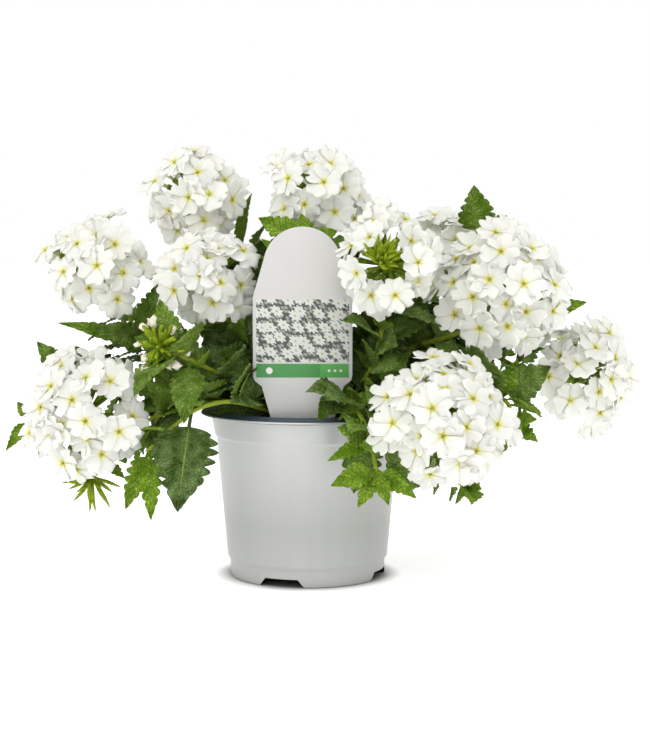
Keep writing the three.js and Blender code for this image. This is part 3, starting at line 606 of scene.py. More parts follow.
def pot_plastic():
    """Silver-grey satin plastic with a fine pearl grain and faint flow marks down the wall, and painted light
    and shade by height.
    """
    material, nodes = new_material("pot_plastic", {"Metallic": 0.2})
    # Painted shade and painted light: the two ends of the wall's colour
    shaded = (0.335, 0.34, 0.322)
    lit = (0.60, 0.605, 0.595)
    place = nodes.place()
    grain = nodes.noise(place, scale=2600, detail=2)
    drawn_down = nodes.add("ShaderNodeMapping", {"Vector": place, "Scale": (140, 140, 6)})
    flow = nodes.noise(drawn_down, scale=1, detail=2)
    height = nodes.parts(place)[2]
    # Painted light and shade by height: darkest at POT_SHADE_FROM, lighter up to the rim and a little lighter
    # again towards the foot
    rise = nodes.span(height, (POT_SHADE_FROM * MM, POT_HEIGHT * MM), (0.1, 0.85))
    foot = nodes.span(height, (POT_SHADE_FROM * MM, 0), (0, 0.22))
    streaks = grain * 0.1 + flow * 0.14
    nodes.colour(nodes.mix(rise + foot + streaks, shaded, lit))
    nodes.roughness(flow, low=0.3, high=0.42)
    nodes.bump(grain, strength=0.08, distance=0.0002)
    return material


def rim_plastic():
    """Dark slate plastic of the lip, the inside and the foot's notches, with painted shade that darkens it
    towards the floor.
    """
    material, nodes = new_material("rim_plastic", {})
    # Painted shade for the foot and the notches
    foot_shade = (0.006, 0.007, 0.009)
    dark = (0.03, 0.045, 0.068)
    pale = (0.07, 0.095, 0.13)
    place = nodes.place()
    scuffs = nodes.noise(place, scale=700, detail=4)
    # Painted shade: full up to the notch tops, fading into the slate by five times their height
    above_foot = nodes.span(nodes.parts(place)[2], (NOTCH_HEIGHT * MM, 5 * NOTCH_HEIGHT * MM), (0, 1))
    nodes.colour(nodes.mix(above_foot, foot_shade, nodes.mix(scuffs, dark, pale)))
    nodes.roughness(scuffs, low=0.35, high=0.6)
    return material


def mottled(name, plain, scale, detail, dark, light):
    """A material that goes from a dark colour to a light one by a fine noise, its nodes and the noise."""
    material, nodes = new_material(name, plain)
    mottle = nodes.noise(nodes.place(), scale, detail)
    nodes.colour(nodes.mix(mottle, dark, light))
    return material, nodes, mottle


def soil_peat():
    """Dark peat with brown fibres."""
    material, nodes, fibres = mottled(
        "soil_peat", {"Roughness": 0.95}, 900, 6, dark=(0.008, 0.005, 0.004), light=(0.07, 0.042, 0.026))
    nodes.bump(fibres, strength=0.9, distance=0.001)
    return material


def bark_crumb():
    """Brown bark grains."""
    return mottled(
        "bark_crumb", {"Roughness": 0.9}, 300, 3, dark=(0.02, 0.012, 0.008), light=(0.16, 0.1, 0.06))[0]


def petal_white():
    """White petals with a small yellow eye, fine veins, a soft glow through the thin sheet and painted warm
    shade in the hollows of the crumpled surface.
    """
    material, nodes = new_material("petal_white", {
        "Roughness": 0.6, "Subsurface Weight": 0.55, "Subsurface Radius": (1.0, 1.0, 0.92),
        "Subsurface Scale": 0.003})
    across, along = nodes.uv()
    eye = nodes.add("ShaderNodeValToRGB", {"Fac": along})
    ramp = eye.socket.node.color_ramp
    ramp.elements[0].color = (0.46, 0.43, 0.03, 1)
    ramp.elements[1].color = (0.93, 0.93, 0.85, 1)
    for position, colour in (
        (0.10, (0.62, 0.57, 0.04)), (0.19, (0.80, 0.74, 0.12)), (0.26, (0.86, 0.82, 0.30)),
        (0.34, (0.89, 0.89, 0.66)), (0.45, (0.93, 0.93, 0.85)),
    ):
        ramp.elements.new(position).color = (*colour, 1)
    spread = nodes.add("ShaderNodeCombineXYZ", {0: across * 2.4, 1: along})
    veins = nodes.add("ShaderNodeTexWave", {"Vector": spread, "Scale": 1.4, "Distortion": 2.0}, output="Fac")
    crumple = nodes.noise(nodes.place(), scale=420)
    # Painted shade: a warm green-cream in the hollows of the crumpled surface
    painted_hollow_shade = (0.82, 0.83, 0.64)
    nodes.colour(nodes.mix((1.0 - crumple) * 0.14, eye, painted_hollow_shade))
    nodes.bump(veins * 0.4 + crumple, strength=0.25, distance=0.0006)
    return material


def tube_pale():
    """The flower tubes: greenish white."""
    return mottled(
        "tube_pale", {"Roughness": 0.55}, 300, 2, dark=(0.40, 0.48, 0.14), light=(0.74, 0.78, 0.5))[0]


def calyx_green():
    """Pale green calyxes, buds and flower stalks, with furrows down them, darkened with painted shade, and
    ribs lightened with a painted highlight.
    """
    material, nodes = new_material("calyx_green", {"Roughness": 0.6, "Specular IOR Level": 0.15})
    # The calyx's dark and light green, which the furrows and ribs take on as painted shade and highlight
    furrow = (0.085, 0.17, 0.004)
    rib = (0.47, 0.57, 0.03)
    mottle = nodes.noise(nodes.place(), scale=500, detail=4)
    around, _ = nodes.uv()
    # Painted shade and highlight: the tone falls in the furrows and rises on the ribs
    painted_furrow_shade = nodes.math("COSINE", around * (CALYX_RIBS * 2 * math.pi))
    tone = nodes.math("SUBTRACT", mottle, painted_furrow_shade * 0.3, clamp=True)
    nodes.colour(nodes.mix(tone, furrow, rib))
    nodes.bump(mottle, strength=0.5, distance=0.0004)
    return material


def bud_blush():
    """Unopened petals: white with a trace of pink and green."""
    plain = {"Roughness": 0.5, "Subsurface Weight": 0.2, "Subsurface Scale": 0.001}
    return mottled("bud_blush", plain, 350, 2, dark=(0.82, 0.83, 0.60), light=(0.90, 0.82, 0.76))[0]


def stem_green():
    """Light green stems with a slightly hairy skin."""
    plain = {"Roughness": 0.55, "Specular IOR Level": 0.2}
    material, nodes, _ = mottled(
        "stem_green", plain, 260, 4, dark=(0.14, 0.22, 0.008), light=(0.40, 0.48, 0.04))
    nodes.bump(nodes.noise(nodes.place(), scale=2200, detail=2), strength=0.3, distance=0.0003)
    return material


def leaf_skin(name, old_dark, old_light, young_dark, young_light, vein):
    """A leaf's skin: quilted between sunken veins, darker on old leaves, with painted shade in the quilting's
    creases and a fine mottle whose light end carries a painted grey sheen.
    """
    material, nodes = new_material(name, {
        "Specular IOR Level": 0.15, "Subsurface Weight": 0.08, "Subsurface Scale": 0.001})
    across, along = nodes.uv()
    from_rib = nodes.math("ABSOLUTE", across - 0.5)
    rib = nodes.band(from_rib, low=0.0, high=0.008, soft=0.014)
    beat = nodes.math("FRACT", (along - from_rib * VEIN_SLOPE) * VEIN_COUNT)
    side_veins = nodes.band(beat, low=0.455, high=0.505, soft=0.09)
    to_edge = nodes.cells(nodes.place(), 620.0, feature="DISTANCE_TO_EDGE")
    quilting = nodes.math("MULTIPLY", to_edge, 6.0, clamp=True)
    mottle = nodes.span(nodes.noise(nodes.place(), scale=160, detail=4), (0.35, 0.65), (0, 1))
    age = nodes.add("ShaderNodeAttribute", output="Fac", attribute_name="age")
    skin = nodes.mix(age, nodes.mix(mottle, young_dark, young_light), nodes.mix(mottle, old_dark, old_light))
    # Painted shade: the skin darkens towards the old or young dark green in the quilting's creases
    skin_with_painted_crease_shade = nodes.mix((1.0 - quilting) * 0.35, skin, nodes.mix(age, young_dark, old_dark))
    nodes.colour(nodes.mix(nodes.largest(side_veins * 0.3, rib * 0.8), skin_with_painted_crease_shade, vein))
    nodes.bump(quilting * 0.5 - nodes.largest(side_veins, rib), strength=0.9, distance=0.0009)
    nodes.roughness(mottle, low=0.45, high=0.62)
    return material


def leaf_top():
    # The light ends of the top's mottle are greyed with a painted sheen
    return leaf_skin(
        "leaf_top", old_dark=(0.042, 0.084, 0.008), old_light=(0.190, 0.285, 0.100),
        young_dark=(0.120, 0.240, 0.003), young_light=(0.30, 0.47, 0.045), vein=(0.30, 0.42, 0.075))


def leaf_under():
    return leaf_skin(
        "leaf_under", old_dark=(0.08, 0.14, 0.025), old_light=(0.16, 0.25, 0.05),
        young_dark=(0.18, 0.31, 0.02), young_light=(0.33, 0.49, 0.05), vein=(0.34, 0.45, 0.11))


def daisy_print(nodes, x, z):
    """Plain pale daisies over round berries on a dusky ground."""
    dusk = nodes.noise(nodes.place(), scale=130, detail=4)
    ground = nodes.mix(dusk, (0.02, 0.03, 0.02), (0.12, 0.13, 0.12))
    petal_pale = (0.64, 0.65, 0.62)
    eye_olive = (0.42, 0.44, 0.16)
    berry_grey = (0.30, 0.33, 0.27)
    flat = nodes.add("ShaderNodeCombineXYZ", {0: (x + z * DAISY_SLANT) / DAISY_SPACING, 1: z / DAISY_SPACING})
    from_middle = nodes.cells(flat, 1.0, randomness=0.5, voronoi_dimensions="2D")
    offset = nodes.add(
        "ShaderNodeVectorMath", {0: flat, 1: nodes.also(from_middle, "Position")}, operation="SUBTRACT")
    right, up, _ = nodes.parts(offset)
    lobes = nodes.math("COSINE", nodes.math("ARCTAN2", up, right) * DAISY_PETALS)
    edge = lobes * DAISY_LOBE + DAISY_RADIUS
    petals = nodes.math("MULTIPLY", edge - from_middle, DAISY_EDGE, clamp=True)
    eye = nodes.math("LESS_THAN", from_middle, DAISY_EYE)
    from_berry = nodes.cells(flat, BERRIES_PER_DAISY, randomness=0.6, voronoi_dimensions="2D")
    berry = nodes.math("LESS_THAN", from_berry, BERRY_RADIUS)
    return nodes.mix(petals, nodes.mix(berry, ground, berry_grey), nodes.mix(eye, petal_pale, eye_olive))


def green_strip(nodes, x, z):
    """A green band in two tones with a pale disc and three pips."""
    green = nodes.mix(nodes.math("GREATER_THAN", x, STRIP_SPLIT), (0.055, 0.27, 0.06), (0.09, 0.36, 0.08))
    right, up = x - DISC_PLACE[0], z - DISC_PLACE[1]
    disc = nodes.math("LESS_THAN", nodes.math("SQRT", right * right + up * up), DISC_RADIUS)
    pips = nodes.band(nodes.math("FRACT", x / PIP_SPACING), low=0.3, high=0.7, soft=0.02)
    marks = nodes.largest(disc, pips * nodes.box(x, z, PIP_ROW, soft=0.05))
    return nodes.mix(marks, green, (0.8, 0.8, 0.78))


def tag_plastic():
    """Off-white tag: a dusky panel of plain daisies over berries, and a green band with a disc and pips."""
    material, nodes = new_material("tag_plastic", {"Roughness": 0.3})
    place = nodes.parts(nodes.place())
    x = place[0] / MM - TAG_X
    z = place[2] / MM
    cloud = nodes.noise(nodes.place(), scale=90, detail=2)
    skin = nodes.mix(cloud, (0.572, 0.562, 0.545), (0.618, 0.609, 0.590))
    printed = nodes.mix(nodes.box(x, z, PANEL, soft=0.1), skin, daisy_print(nodes, x, z))
    nodes.colour(nodes.mix(nodes.box(x, z, STRIP, soft=0.1), printed, green_strip(nodes, x, z)))
    nodes.bump(nodes.noise(nodes.place(), scale=1500, detail=2), strength=0.04, distance=0.0002)
    return material


# Meshes

def mesh_object(name, bm):
    """Turns a mesh into an object of the scene."""
    mesh = bpy.data.meshes.new(name)
    bm.to_mesh(mesh)
    bm.free()
    made = bpy.data.objects.new(name, mesh)
    bpy.context.scene.collection.objects.link(made)
    return made


def finish_piece(name, bm, materials, replaced=(), smooth=True):
    """Turns a mesh in millimetres into a named piece that rides with the part."""
    bmesh.ops.scale(bm, vec=(MM, MM, MM), verts=bm.verts)
    piece = mesh_object(name, bm)
    for material in materials:
        piece.data.materials.append(material)
    piece.data.polygons.foreach_set("use_smooth", [smooth] * len(piece.data.polygons))
    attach(piece, "root")
    if replaced:
        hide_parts(*replaced)
    return piece


def uv_mesh():
    """An empty mesh whose pieces carry a UV map."""
    bm = bmesh.new()
    bm.loops.layers.uv.new("UVMap")
    return bm


def thicken(piece, thickness):
    """Gives a sheet its thickness, with its second material on the underside."""
    solidify = piece.modifiers.new("thickness", "SOLIDIFY")
    solidify.thickness = thickness * MM
    solidify.offset = 0
    solidify.material_offset = 1


def unit(vector):
    vector = np.array(vector, float)
    return vector / np.linalg.norm(vector)


def sideways(direction):
    """Two directions square to the given one and to each other."""
    up = np.array([1.0, 0, 0]) if abs(direction[2]) > NEARLY_UPRIGHT else np.array([0, 0, 1.0])
    first = unit(np.cross(up, direction))
    return first, np.cross(direction, first)


def on_circle(across, along, turn):
    """The direction at a turn of the circle that two directions span."""
    return across * math.cos(turn) + along * math.sin(turn)


def leaning(front, lean, turn):
    """The direction that leans away from the front one, at a turn round it."""
    return on_circle(front, on_circle(*sideways(front), turn), lean)


def turned_to(way):
    """The turn that points the upright axis a given way."""
    return Vector(way).to_track_quat("Z", "Y").to_matrix()


def seeded_random(seed):
    """The same numbers as the solids' generator from the same seed, between 0 and 1."""
    mask = 0xFFFFFFFF
    state = [seed & mask]

    def draw():
        state[0] = (state[0] + 0x6D2B79F5) & mask
        mixed = ((state[0] ^ (state[0] >> 15)) * (1 | state[0])) & mask
        mixed = ((mixed + (((mixed ^ (mixed >> 7)) * (61 | mixed)) & mask)) & mask) ^ mixed
        return ((mixed ^ (mixed >> 14)) & mask) / (mask + 1)

    return draw


def drawn(random, least, spread):
    """A draw from the least value over a spread."""
    return least + spread * random()


def swing(random, spread, middle=0.5):
    """A draw on both sides of nothing, over a spread."""
    return (random() - middle) * spread


# Layout, worked out as for the solids

class StemCurve:
    """The smooth path of a stem through its points."""

    def __init__(self, name):
        root, via = STEMS[name]
        points = [
            (root[0] * ROOT_TAPER, root[1] * ROOT_TAPER, SOIL_TOP - ROOT_DEPTH),
            (root[0], root[1], SOIL_TOP + COLLAR_HEIGHT),
            *via,
        ]
        if name in HEADS:
            centre, facing, radius = HEADS[name]
            for share in (NECK_SHARE, TIP_SHARE):
                points.append(np.array(centre, float) - unit(facing) * radius * share)
        self.points = np.array(points, float)

    def at(self, share):
        points = self.points
        last = len(points) - 1
        place = share * last
        index = min(int(math.floor(place)), last - 1)
        part = place - index
        before = points[index - 1] if index > 0 else 2 * points[0] - points[1]
        start = points[index]
        end = points[index + 1]
        after = points[index + 2] if index + 2 <= last else 2 * points[last] - points[last - 1]
        slope_start = (end - before) / 2
        slope_end = (after - start) / 2
        return (start + slope_start * part
                + (-3 * start + 3 * end - 2 * slope_start - slope_end) * part ** 2
                + (2 * start - 2 * end + slope_start + slope_end) * part ** 3)

    def ahead(self, share):
        low = max(share - LOOK_AHEAD, 0)
        high = min(share + LOOK_AHEAD, 1)
        return unit(self.at(high) - self.at(low))

    def length(self):
        points = np.array([self.at(i / WALK_STEPS) for i in range(WALK_STEPS + 1)])
        return float(np.linalg.norm(np.diff(points, axis=0), axis=1).sum())


def ovate(share):
    """The width of an egg-shaped blade at a share of its length, as a share of its greatest."""
    return math.sin(math.pi * share ** OVATE_LEAN) ** OVATE_FULLNESS


def leaf_frame(base, tip, to_front):
    """A leaf's base, length, direction, upper side and side direction."""
    run = tip - base
    length = float(np.linalg.norm(run))
    direction = run / length
    sky = np.array([base[0], base[1], 0.0])
    sky = sky / np.linalg.norm(sky) * LEAF_OUTWARD
    sky[2] = LEAF_UPWARD
    if to_front:
        sky = np.array(FRONT_SKY)
    upper = unit(sky - direction * sky.dot(direction))
    return base, length, direction, upper, np.cross(direction, upper)


def on_leaf(leaf, share, offset):
    """The point of an arched, folded leaf at a share of its length and an offset from its rib."""
    base, length, direction, upper, side = leaf
    arch = LEAF_ARCH * length * 4 * share * (1 - share)
    return base + direction * (share * length) + side * offset + upper * (arch + LEAF_FOLD * abs(offset))


def leaf_samples(base, tip, width, to_front=False):
    """Points that stand for a leaf when its room is measured."""
    leaf = leaf_frame(base, tip, to_front)
    samples = []
    for share in ROOM_SHARES:
        reach = ovate((share - PETIOLE_SHARE) / (1 - PETIOLE_SHARE)) * width / 2
        for side in ROOM_SIDES:
            samples.append(on_leaf(leaf, share, side * reach))
    return np.array([*samples, tip])


def least_distance(points, others):
    if not len(others):
        return math.inf
    return float(np.sqrt(((points[:, None, :] - others[None, :, :]) ** 2).sum(axis=2)).min())


def room_at(points, stem_points, leaf_points):
    """Room around the points: to the heads, the tag, the pot, the floor, the stems and the leaves."""
    room = float(points[:, 2].min()) - LOWEST_LEAF
    for centre, _, radius in HEADS.values():
        room = min(room, float(np.linalg.norm(points - np.array(centre), axis=1).min()) - radius)
    pot_radius = np.where(points[:, 2] > COLLAR_Z, RIM_RADIUS, FOOT_RADIUS + POT_SLOPE * points[:, 2])
    past_pot = np.hypot(points[:, 0], points[:, 1]) - pot_radius
    room = min(room, float(np.maximum(points[:, 2] - POT_HEIGHT, past_pot).min()))
    beside = np.abs(points[:, 0] - TAG_X) - TAG_HALF_WIDTH
    before = np.abs(points[:, 1] - TAG_Y) - TAG_THICKNESS
    over = points[:, 2] - TAG_ARC_CENTRE_Z - TAG_ARC_RADIUS
    room = min(room, float(np.maximum(np.maximum(beside, before), over).min()))
    room = min(room, least_distance(points, stem_points) - STEM_SIDE * STEM_ROOM)
    return min(room, least_distance(points, leaf_points))


def inside_plant(tip):
    """Whether a leaf's tip is in the rounded outline that the heads and shoots fill."""
    return float(np.linalg.norm((tip - np.array(PLANT_MIDDLE)) / np.array(PLANT_REACH))) < 1


def hides_pot(tip):
    """Whether a leaf's tip hangs in front of the part of the pot that shows."""
    return BARE_FACE[0] < tip[0] < BARE_FACE[1] and tip[1] < 0 and tip[2] < BARE_HEIGHT


def pair_stations(curve, pairs):
    """Shares of the way along a curve where leaf pairs grow, at an even spacing."""
    stations = []
    walked = 0.0
    wanted = ROOT_DEPTH + pairs["first"]
    last = curve.at(0)
    for step in range(1, WALK_STEPS + 1):
        point = curve.at(step / WALK_STEPS)
        walked += float(np.linalg.norm(point - last))
        last = point
        if walked >= wanted and step / WALK_STEPS <= pairs["last"]:
            stations.append(step / WALK_STEPS)
            wanted += pairs["spacing"]
    return stations


def roomy_tip(curve, share, turn, length, width, rooms, stem_points, leaf_points):
    """The tip that gives a leaf more than the least room, out of a few pitches and yaws, or none."""
    base = curve.at(share)
    ahead = curve.ahead(share)
    across, along = sideways(ahead)
    best_room, wanted_room = rooms
    best_tip = None
    for pitch in LEAF_PITCHES:
        for yaw in LEAF_YAWS:
            spread = on_circle(across, along, turn + yaw)
            tip = base + ahead * (math.cos(pitch) * length) + spread * (math.sin(pitch) * length)
            room = room_at(leaf_samples(base, tip, width), stem_points, leaf_points)
            if room > best_room:
                best_room = room
                best_tip = tip
            if best_room >= wanted_room:
                return best_tip
    return best_tip


def hand_placed(table, curves):
    """Each leaf of a table with its stem. A leaf is base, tip, width, facing and share of the way along."""
    for stem, rows in table.items():
        for share, tip, width, *facing in rows:
            yield stem, (curves[stem].at(share), np.array(tip, float), width, all(facing), share)


def place_leaves(curves):
    """The leaves of each stem: first the listed ones, then by rule where there is room, and a few more listed
    ones last.
    """
    random = seeded_random(LEAF_SEED)
    stem_points = {name: np.array([curve.at(i / (STEM_SAMPLES - 1)) for i in range(STEM_SAMPLES)])
                   for name, curve in curves.items()}
    leaves = {name: [] for name in curves}
    samples = np.zeros((0, 3))
    for stem, leaf in hand_placed(CHOSEN_LEAVES, curves):
        leaves[stem].append(leaf)
        samples = np.vstack([samples, leaf_samples(*leaf[:4])])
    for pairs in PAIR_ROUNDS:
        shortest, longest = pairs["length"]
        for name, curve in curves.items():
            others = np.vstack([points for other, points in stem_points.items() if other != name])
            for pair, share in enumerate(pair_stations(curve, pairs)):
                for half in (0, math.pi):
                    length = drawn(random, shortest, longest - shortest)
                    width = length * pairs["slender"] * drawn(random, *LEAF_WIDTHS)
                    turn = pair * math.pi / 2 + half + FIRST_TURN
                    tip = roomy_tip(curve, share, turn, length, width, pairs["room"], others, samples)
                    fits = tip is not None and inside_plant(tip)
                    if fits and (pairs is PAIR_ROUNDS[0] or not hides_pot(tip)):
                        leaf = (curve.at(share), tip, width, False, share)
                        leaves[name].append(leaf)
                        samples = np.vstack([samples, leaf_samples(*leaf[:4])])
    for stem, leaf in hand_placed(LATE_LEAVES, curves):
        leaves[stem].append(leaf)
    return leaves


# Pot, soil and tag

def spun(profile, steps):
    """A closed mesh spun round the upright axis from (radius, height) pairs."""
    bm = bmesh.new()
    verts = [bm.verts.new((radius, 0, height)) for radius, height in profile]
    edges = [bm.edges.new(pair) for pair in zip(verts, verts[1:])]
    bmesh.ops.spin(
        bm, geom=verts + edges, cent=(0, 0, 0), axis=(0, 0, 1), angle=2 * math.pi, steps=steps,
        use_merge=True)
    bmesh.ops.remove_doubles(bm, verts=bm.verts, dist=MERGE)
    bmesh.ops.recalc_face_normals(bm, faces=bm.faces)
    return bm


def foot_notches(margin):
    """The four notches in the foot, each a tapered prism that runs outwards."""
    bm = bmesh.new()
    bottom = NOTCH_BOTTOM_WIDTH / 2 + margin
    top = NOTCH_TOP_WIDTH / 2 + margin
    near = NOTCH_INNER_RADIUS - margin
    for turn in NOTCH_TURNS:
        made = bmesh.ops.create_cube(bm, size=1)["verts"]
        for vert in made:
            half = bottom if vert.co.z < 0 else top
            vert.co = Vector((
                math.copysign(half, vert.co.x),
                -near if vert.co.y > 0 else -near - PAST_WALL,
                -BELOW_FOOT if vert.co.z < 0 else NOTCH_HEIGHT + margin,
            ))
        bmesh.ops.rotate(bm, verts=made, cent=(0, 0, 0), matrix=Matrix.Rotation(math.radians(turn), 3, "Z"))
    bmesh.ops.recalc_face_normals(bm, faces=bm.faces)
    return bm


def drain_holes():
    bm = bmesh.new()
    out = Matrix.Translation((0, -DRAIN_DISTANCE, NOTCH_HEIGHT))
    for turn in NOTCH_TURNS:
        bmesh.ops.create_cone(
            bm, cap_ends=True, segments=DRAIN_SIDES, radius1=DRAIN_RADIUS, radius2=DRAIN_RADIUS,
            depth=DRAIN_DEPTH, matrix=Matrix.Rotation(math.radians(turn), 4, "Z") @ out)
    return bm


def carved(solid, *cutters):
    """The first mesh with the others cut out of it."""
    target = mesh_object("carving", solid)
    tools = [mesh_object("cutter", cutter) for cutter in cutters]
    for tool in tools:
        modifier = target.modifiers.new("cut", "BOOLEAN")
        modifier.operation = "DIFFERENCE"
        modifier.solver = "EXACT"
        modifier.object = tool
    evaluated = target.evaluated_get(bpy.context.evaluated_depsgraph_get())
    bm = bmesh.new()
    bm.from_mesh(evaluated.to_mesh())
    evaluated.to_mesh_clear()
    for extra in (target, *tools):
        mesh = extra.data
        bpy.data.objects.remove(extra)
        bpy.data.meshes.remove(mesh)
    return bm


def make_pot():
    above = POT_HEIGHT + OVER_RIM
    hollow = spun([(0, above), (POT_INSIDE[0][0], above), *POT_INSIDE], POT_SPIN_STEPS)
    hollow = carved(hollow, foot_notches(POT_WALL))
    outside = spun([*POT_OUTSIDE, (0, POT_HEIGHT)], POT_SPIN_STEPS)
    bm = carved(outside, foot_notches(0), hollow, drain_holes())
    for face in bm.faces:
        middle = face.calc_center_median()
        from_axis = Vector((middle.x, middle.y, 0))
        on_flank = face.normal.dot(from_axis.normalized()) > FLANK_LEAN
        silver = from_axis.length > SILVER_FROM_RADIUS and on_flank and middle.z < DARK_LIP_HEIGHT
        face.material_index = 0 if silver else 1
    piece = finish_piece("nursery_pot", bm, [pot_plastic(), rim_plastic()], ("pot",))
    piece.data.set_sharp_from_angle(angle=math.radians(SHARP_FROM))


def make_soil():
    rings = [(SOIL_RADIUS * ring / SOIL_RINGS, SOIL_TOP) for ring in range(SOIL_RINGS, -1, -1)]
    low = SOIL_TOP - SOIL_DEPTH
    edge = (SOIL_RADIUS, SOIL_TOP - SOIL_EDGE_DROP)
    bm = spun([(0, low), (SOIL_FOOT_RADIUS, low), edge, *rings], SOIL_SPIN_STEPS)
    for vert in bm.verts:
        if vert.co.z > SOIL_TOP - SOIL_SURFACE:
            lumps = sum(noise.noise(vert.co * closeness) * height for closeness, height in SOIL_LUMPS)
            vert.co.z += lumps - SOIL_SINK
    finish_piece("soil_bed", bm, [soil_peat()], ("soil",))


def make_crumbs():
    """Loose grains of bark on the soil."""
    random = seeded_random(CRUMB_SEED)
    bm = bmesh.new()
    for _ in range(CRUMBS):
        radius = (SOIL_RADIUS - CRUMB_MARGIN) * math.sqrt(random())
        turn = random() * 2 * math.pi
        least, spread = CRUMB_SIZES
        size = least + spread * random() ** 2
        place = Vector((radius * math.cos(turn), radius * math.sin(turn), SOIL_TOP + size * CRUMB_LIFT))
        made = bmesh.ops.create_icosphere(bm, subdivisions=1, radius=size)["verts"]
        stretch = Vector([drawn(random, *draw) for draw in (CRUMB_WIDTHS, CRUMB_WIDTHS, CRUMB_HEIGHTS)])
        spin = Matrix.Rotation(random() * math.pi, 3, "Z")
        for vert in made:
            vert.co = spin @ (vert.co * stretch) + place
    finish_piece("soil_crumbs", bm, [bark_crumb()], smooth=False)


def tag_outline():
    arc = []
    for i in range(TAG_ARC_STEPS + 1):
        turn = TAG_ARC_END + (math.pi - 2 * TAG_ARC_END) * i / TAG_ARC_STEPS
        arc.append((TAG_ARC_RADIUS * math.cos(turn), TAG_ARC_CENTRE_Z + TAG_ARC_RADIUS * math.sin(turn)))
    left = [(-x, z) for x, z in TAG_RIGHT_SIDE]
    return [*reversed(TAG_RIGHT_SIDE), *arc, *left]


def make_tag():
    bm = bmesh.new()
    front = TAG_Y - TAG_THICKNESS / 2
    face = bm.faces.new([bm.verts.new((TAG_X + x, front, z)) for x, z in tag_outline()])
    made = bmesh.ops.extrude_face_region(bm, geom=[face])["geom"]
    back = [item for item in made if isinstance(item, bmesh.types.BMVert)]
    bmesh.ops.translate(bm, verts=back, vec=(0, TAG_THICKNESS, 0))
    bmesh.ops.recalc_face_normals(bm, faces=bm.faces)
    rim = [edge for edge in bm.edges if abs(edge.verts[0].co.y - edge.verts[1].co.y) < TAG_THICKNESS / 2]
    bmesh.ops.bevel(
        bm, geom=rim, offset=TAG_EDGE_ROUND, segments=2, profile=0.5, affect="EDGES", material=-1)
    piece = finish_piece("tag_sheet", bm, [tag_plastic()], ("plant_tag",))
    piece.data.set_sharp_from_angle(angle=math.radians(SHARP_FROM))


# Stems and leaves

def add_grid(bm, columns, rows):
    """A flat grid with a UV map, as (corner, share across from -1 to 1, row) for the shapes below to move."""
    made = bmesh.ops.create_grid(bm, x_segments=columns, y_segments=rows, size=0.5, calc_uvs=True)["verts"]
    return [(vert, vert.co.x * 2, round((vert.co.y + 0.5) * rows)) for vert in made]


def add_wrapped(bm, sides, rings, radius_at):
    """A closed skin round a list of (centre, across, along) rings, with a radius for each ring and turn."""
    made = add_grid(bm, sides, len(rings) - 1)
    for vert, share, row in made:
        turn = round((share + 1) / 2 * sides) * 2 * math.pi / sides
        centre, across, along = rings[row]
        radius = radius_at(row, turn)
        vert.co = Vector(centre + across * (math.cos(turn) * radius) + along * (math.sin(turn) * radius))
    bmesh.ops.remove_doubles(bm, verts=[vert for vert, _, _ in made], dist=MERGE)
    ends = [edge for edge in bm.edges if edge.is_boundary]
    bmesh.ops.holes_fill(bm, edges=ends, sides=sides)


def add_stem(bm, curve):
    """A rounded square stem along its curve, a little slimmer towards its tip."""
    steps = max(FEWEST_STEM_STEPS, round(curve.length() / STEM_STEP))
    across, _ = sideways(curve.ahead(0))
    rings = []
    for i in range(steps + 1):
        ahead = curve.ahead(i / steps)
        across = unit(across - ahead * across.dot(ahead))
        rings.append((curve.at(i / steps), across, np.cross(ahead, across)))

    def radius_at(row, turn):
        square = 1 + STEM_CORNERS * math.cos(4 * turn)
        return STEM_SIDE / 2 * square * (STEM_FOOT_SIZE - STEM_SLIMMING * row / steps)

    add_wrapped(bm, STEM_SIDES, rings, radius_at)


def tooth_shape(beat):
    """One at the peak of a blunt, forward-leaning tooth and nothing in the notches beside it."""
    return max(math.sin(math.pi * beat ** TOOTH_LEAN), 0) ** TOOTH_BLUNTNESS


def tooth_cut(teeth, depth, part, across, phase):
    """The share of the blade's width that the teeth leave at a part of its length."""
    beat = part * (teeth + 0.5) + (0.5 if across > 0 else 0)
    along, aside = TOOTH_CHANGE
    uneven = 1 + TOOTH_DIFFERENCE * math.sin(phase + along * part + aside * across)
    fade = min(1, TOOTH_FADE - TOOTH_FADE * part)
    return 1 - depth * uneven * fade * (1 - tooth_shape(beat % 1)) * abs(across) ** 3


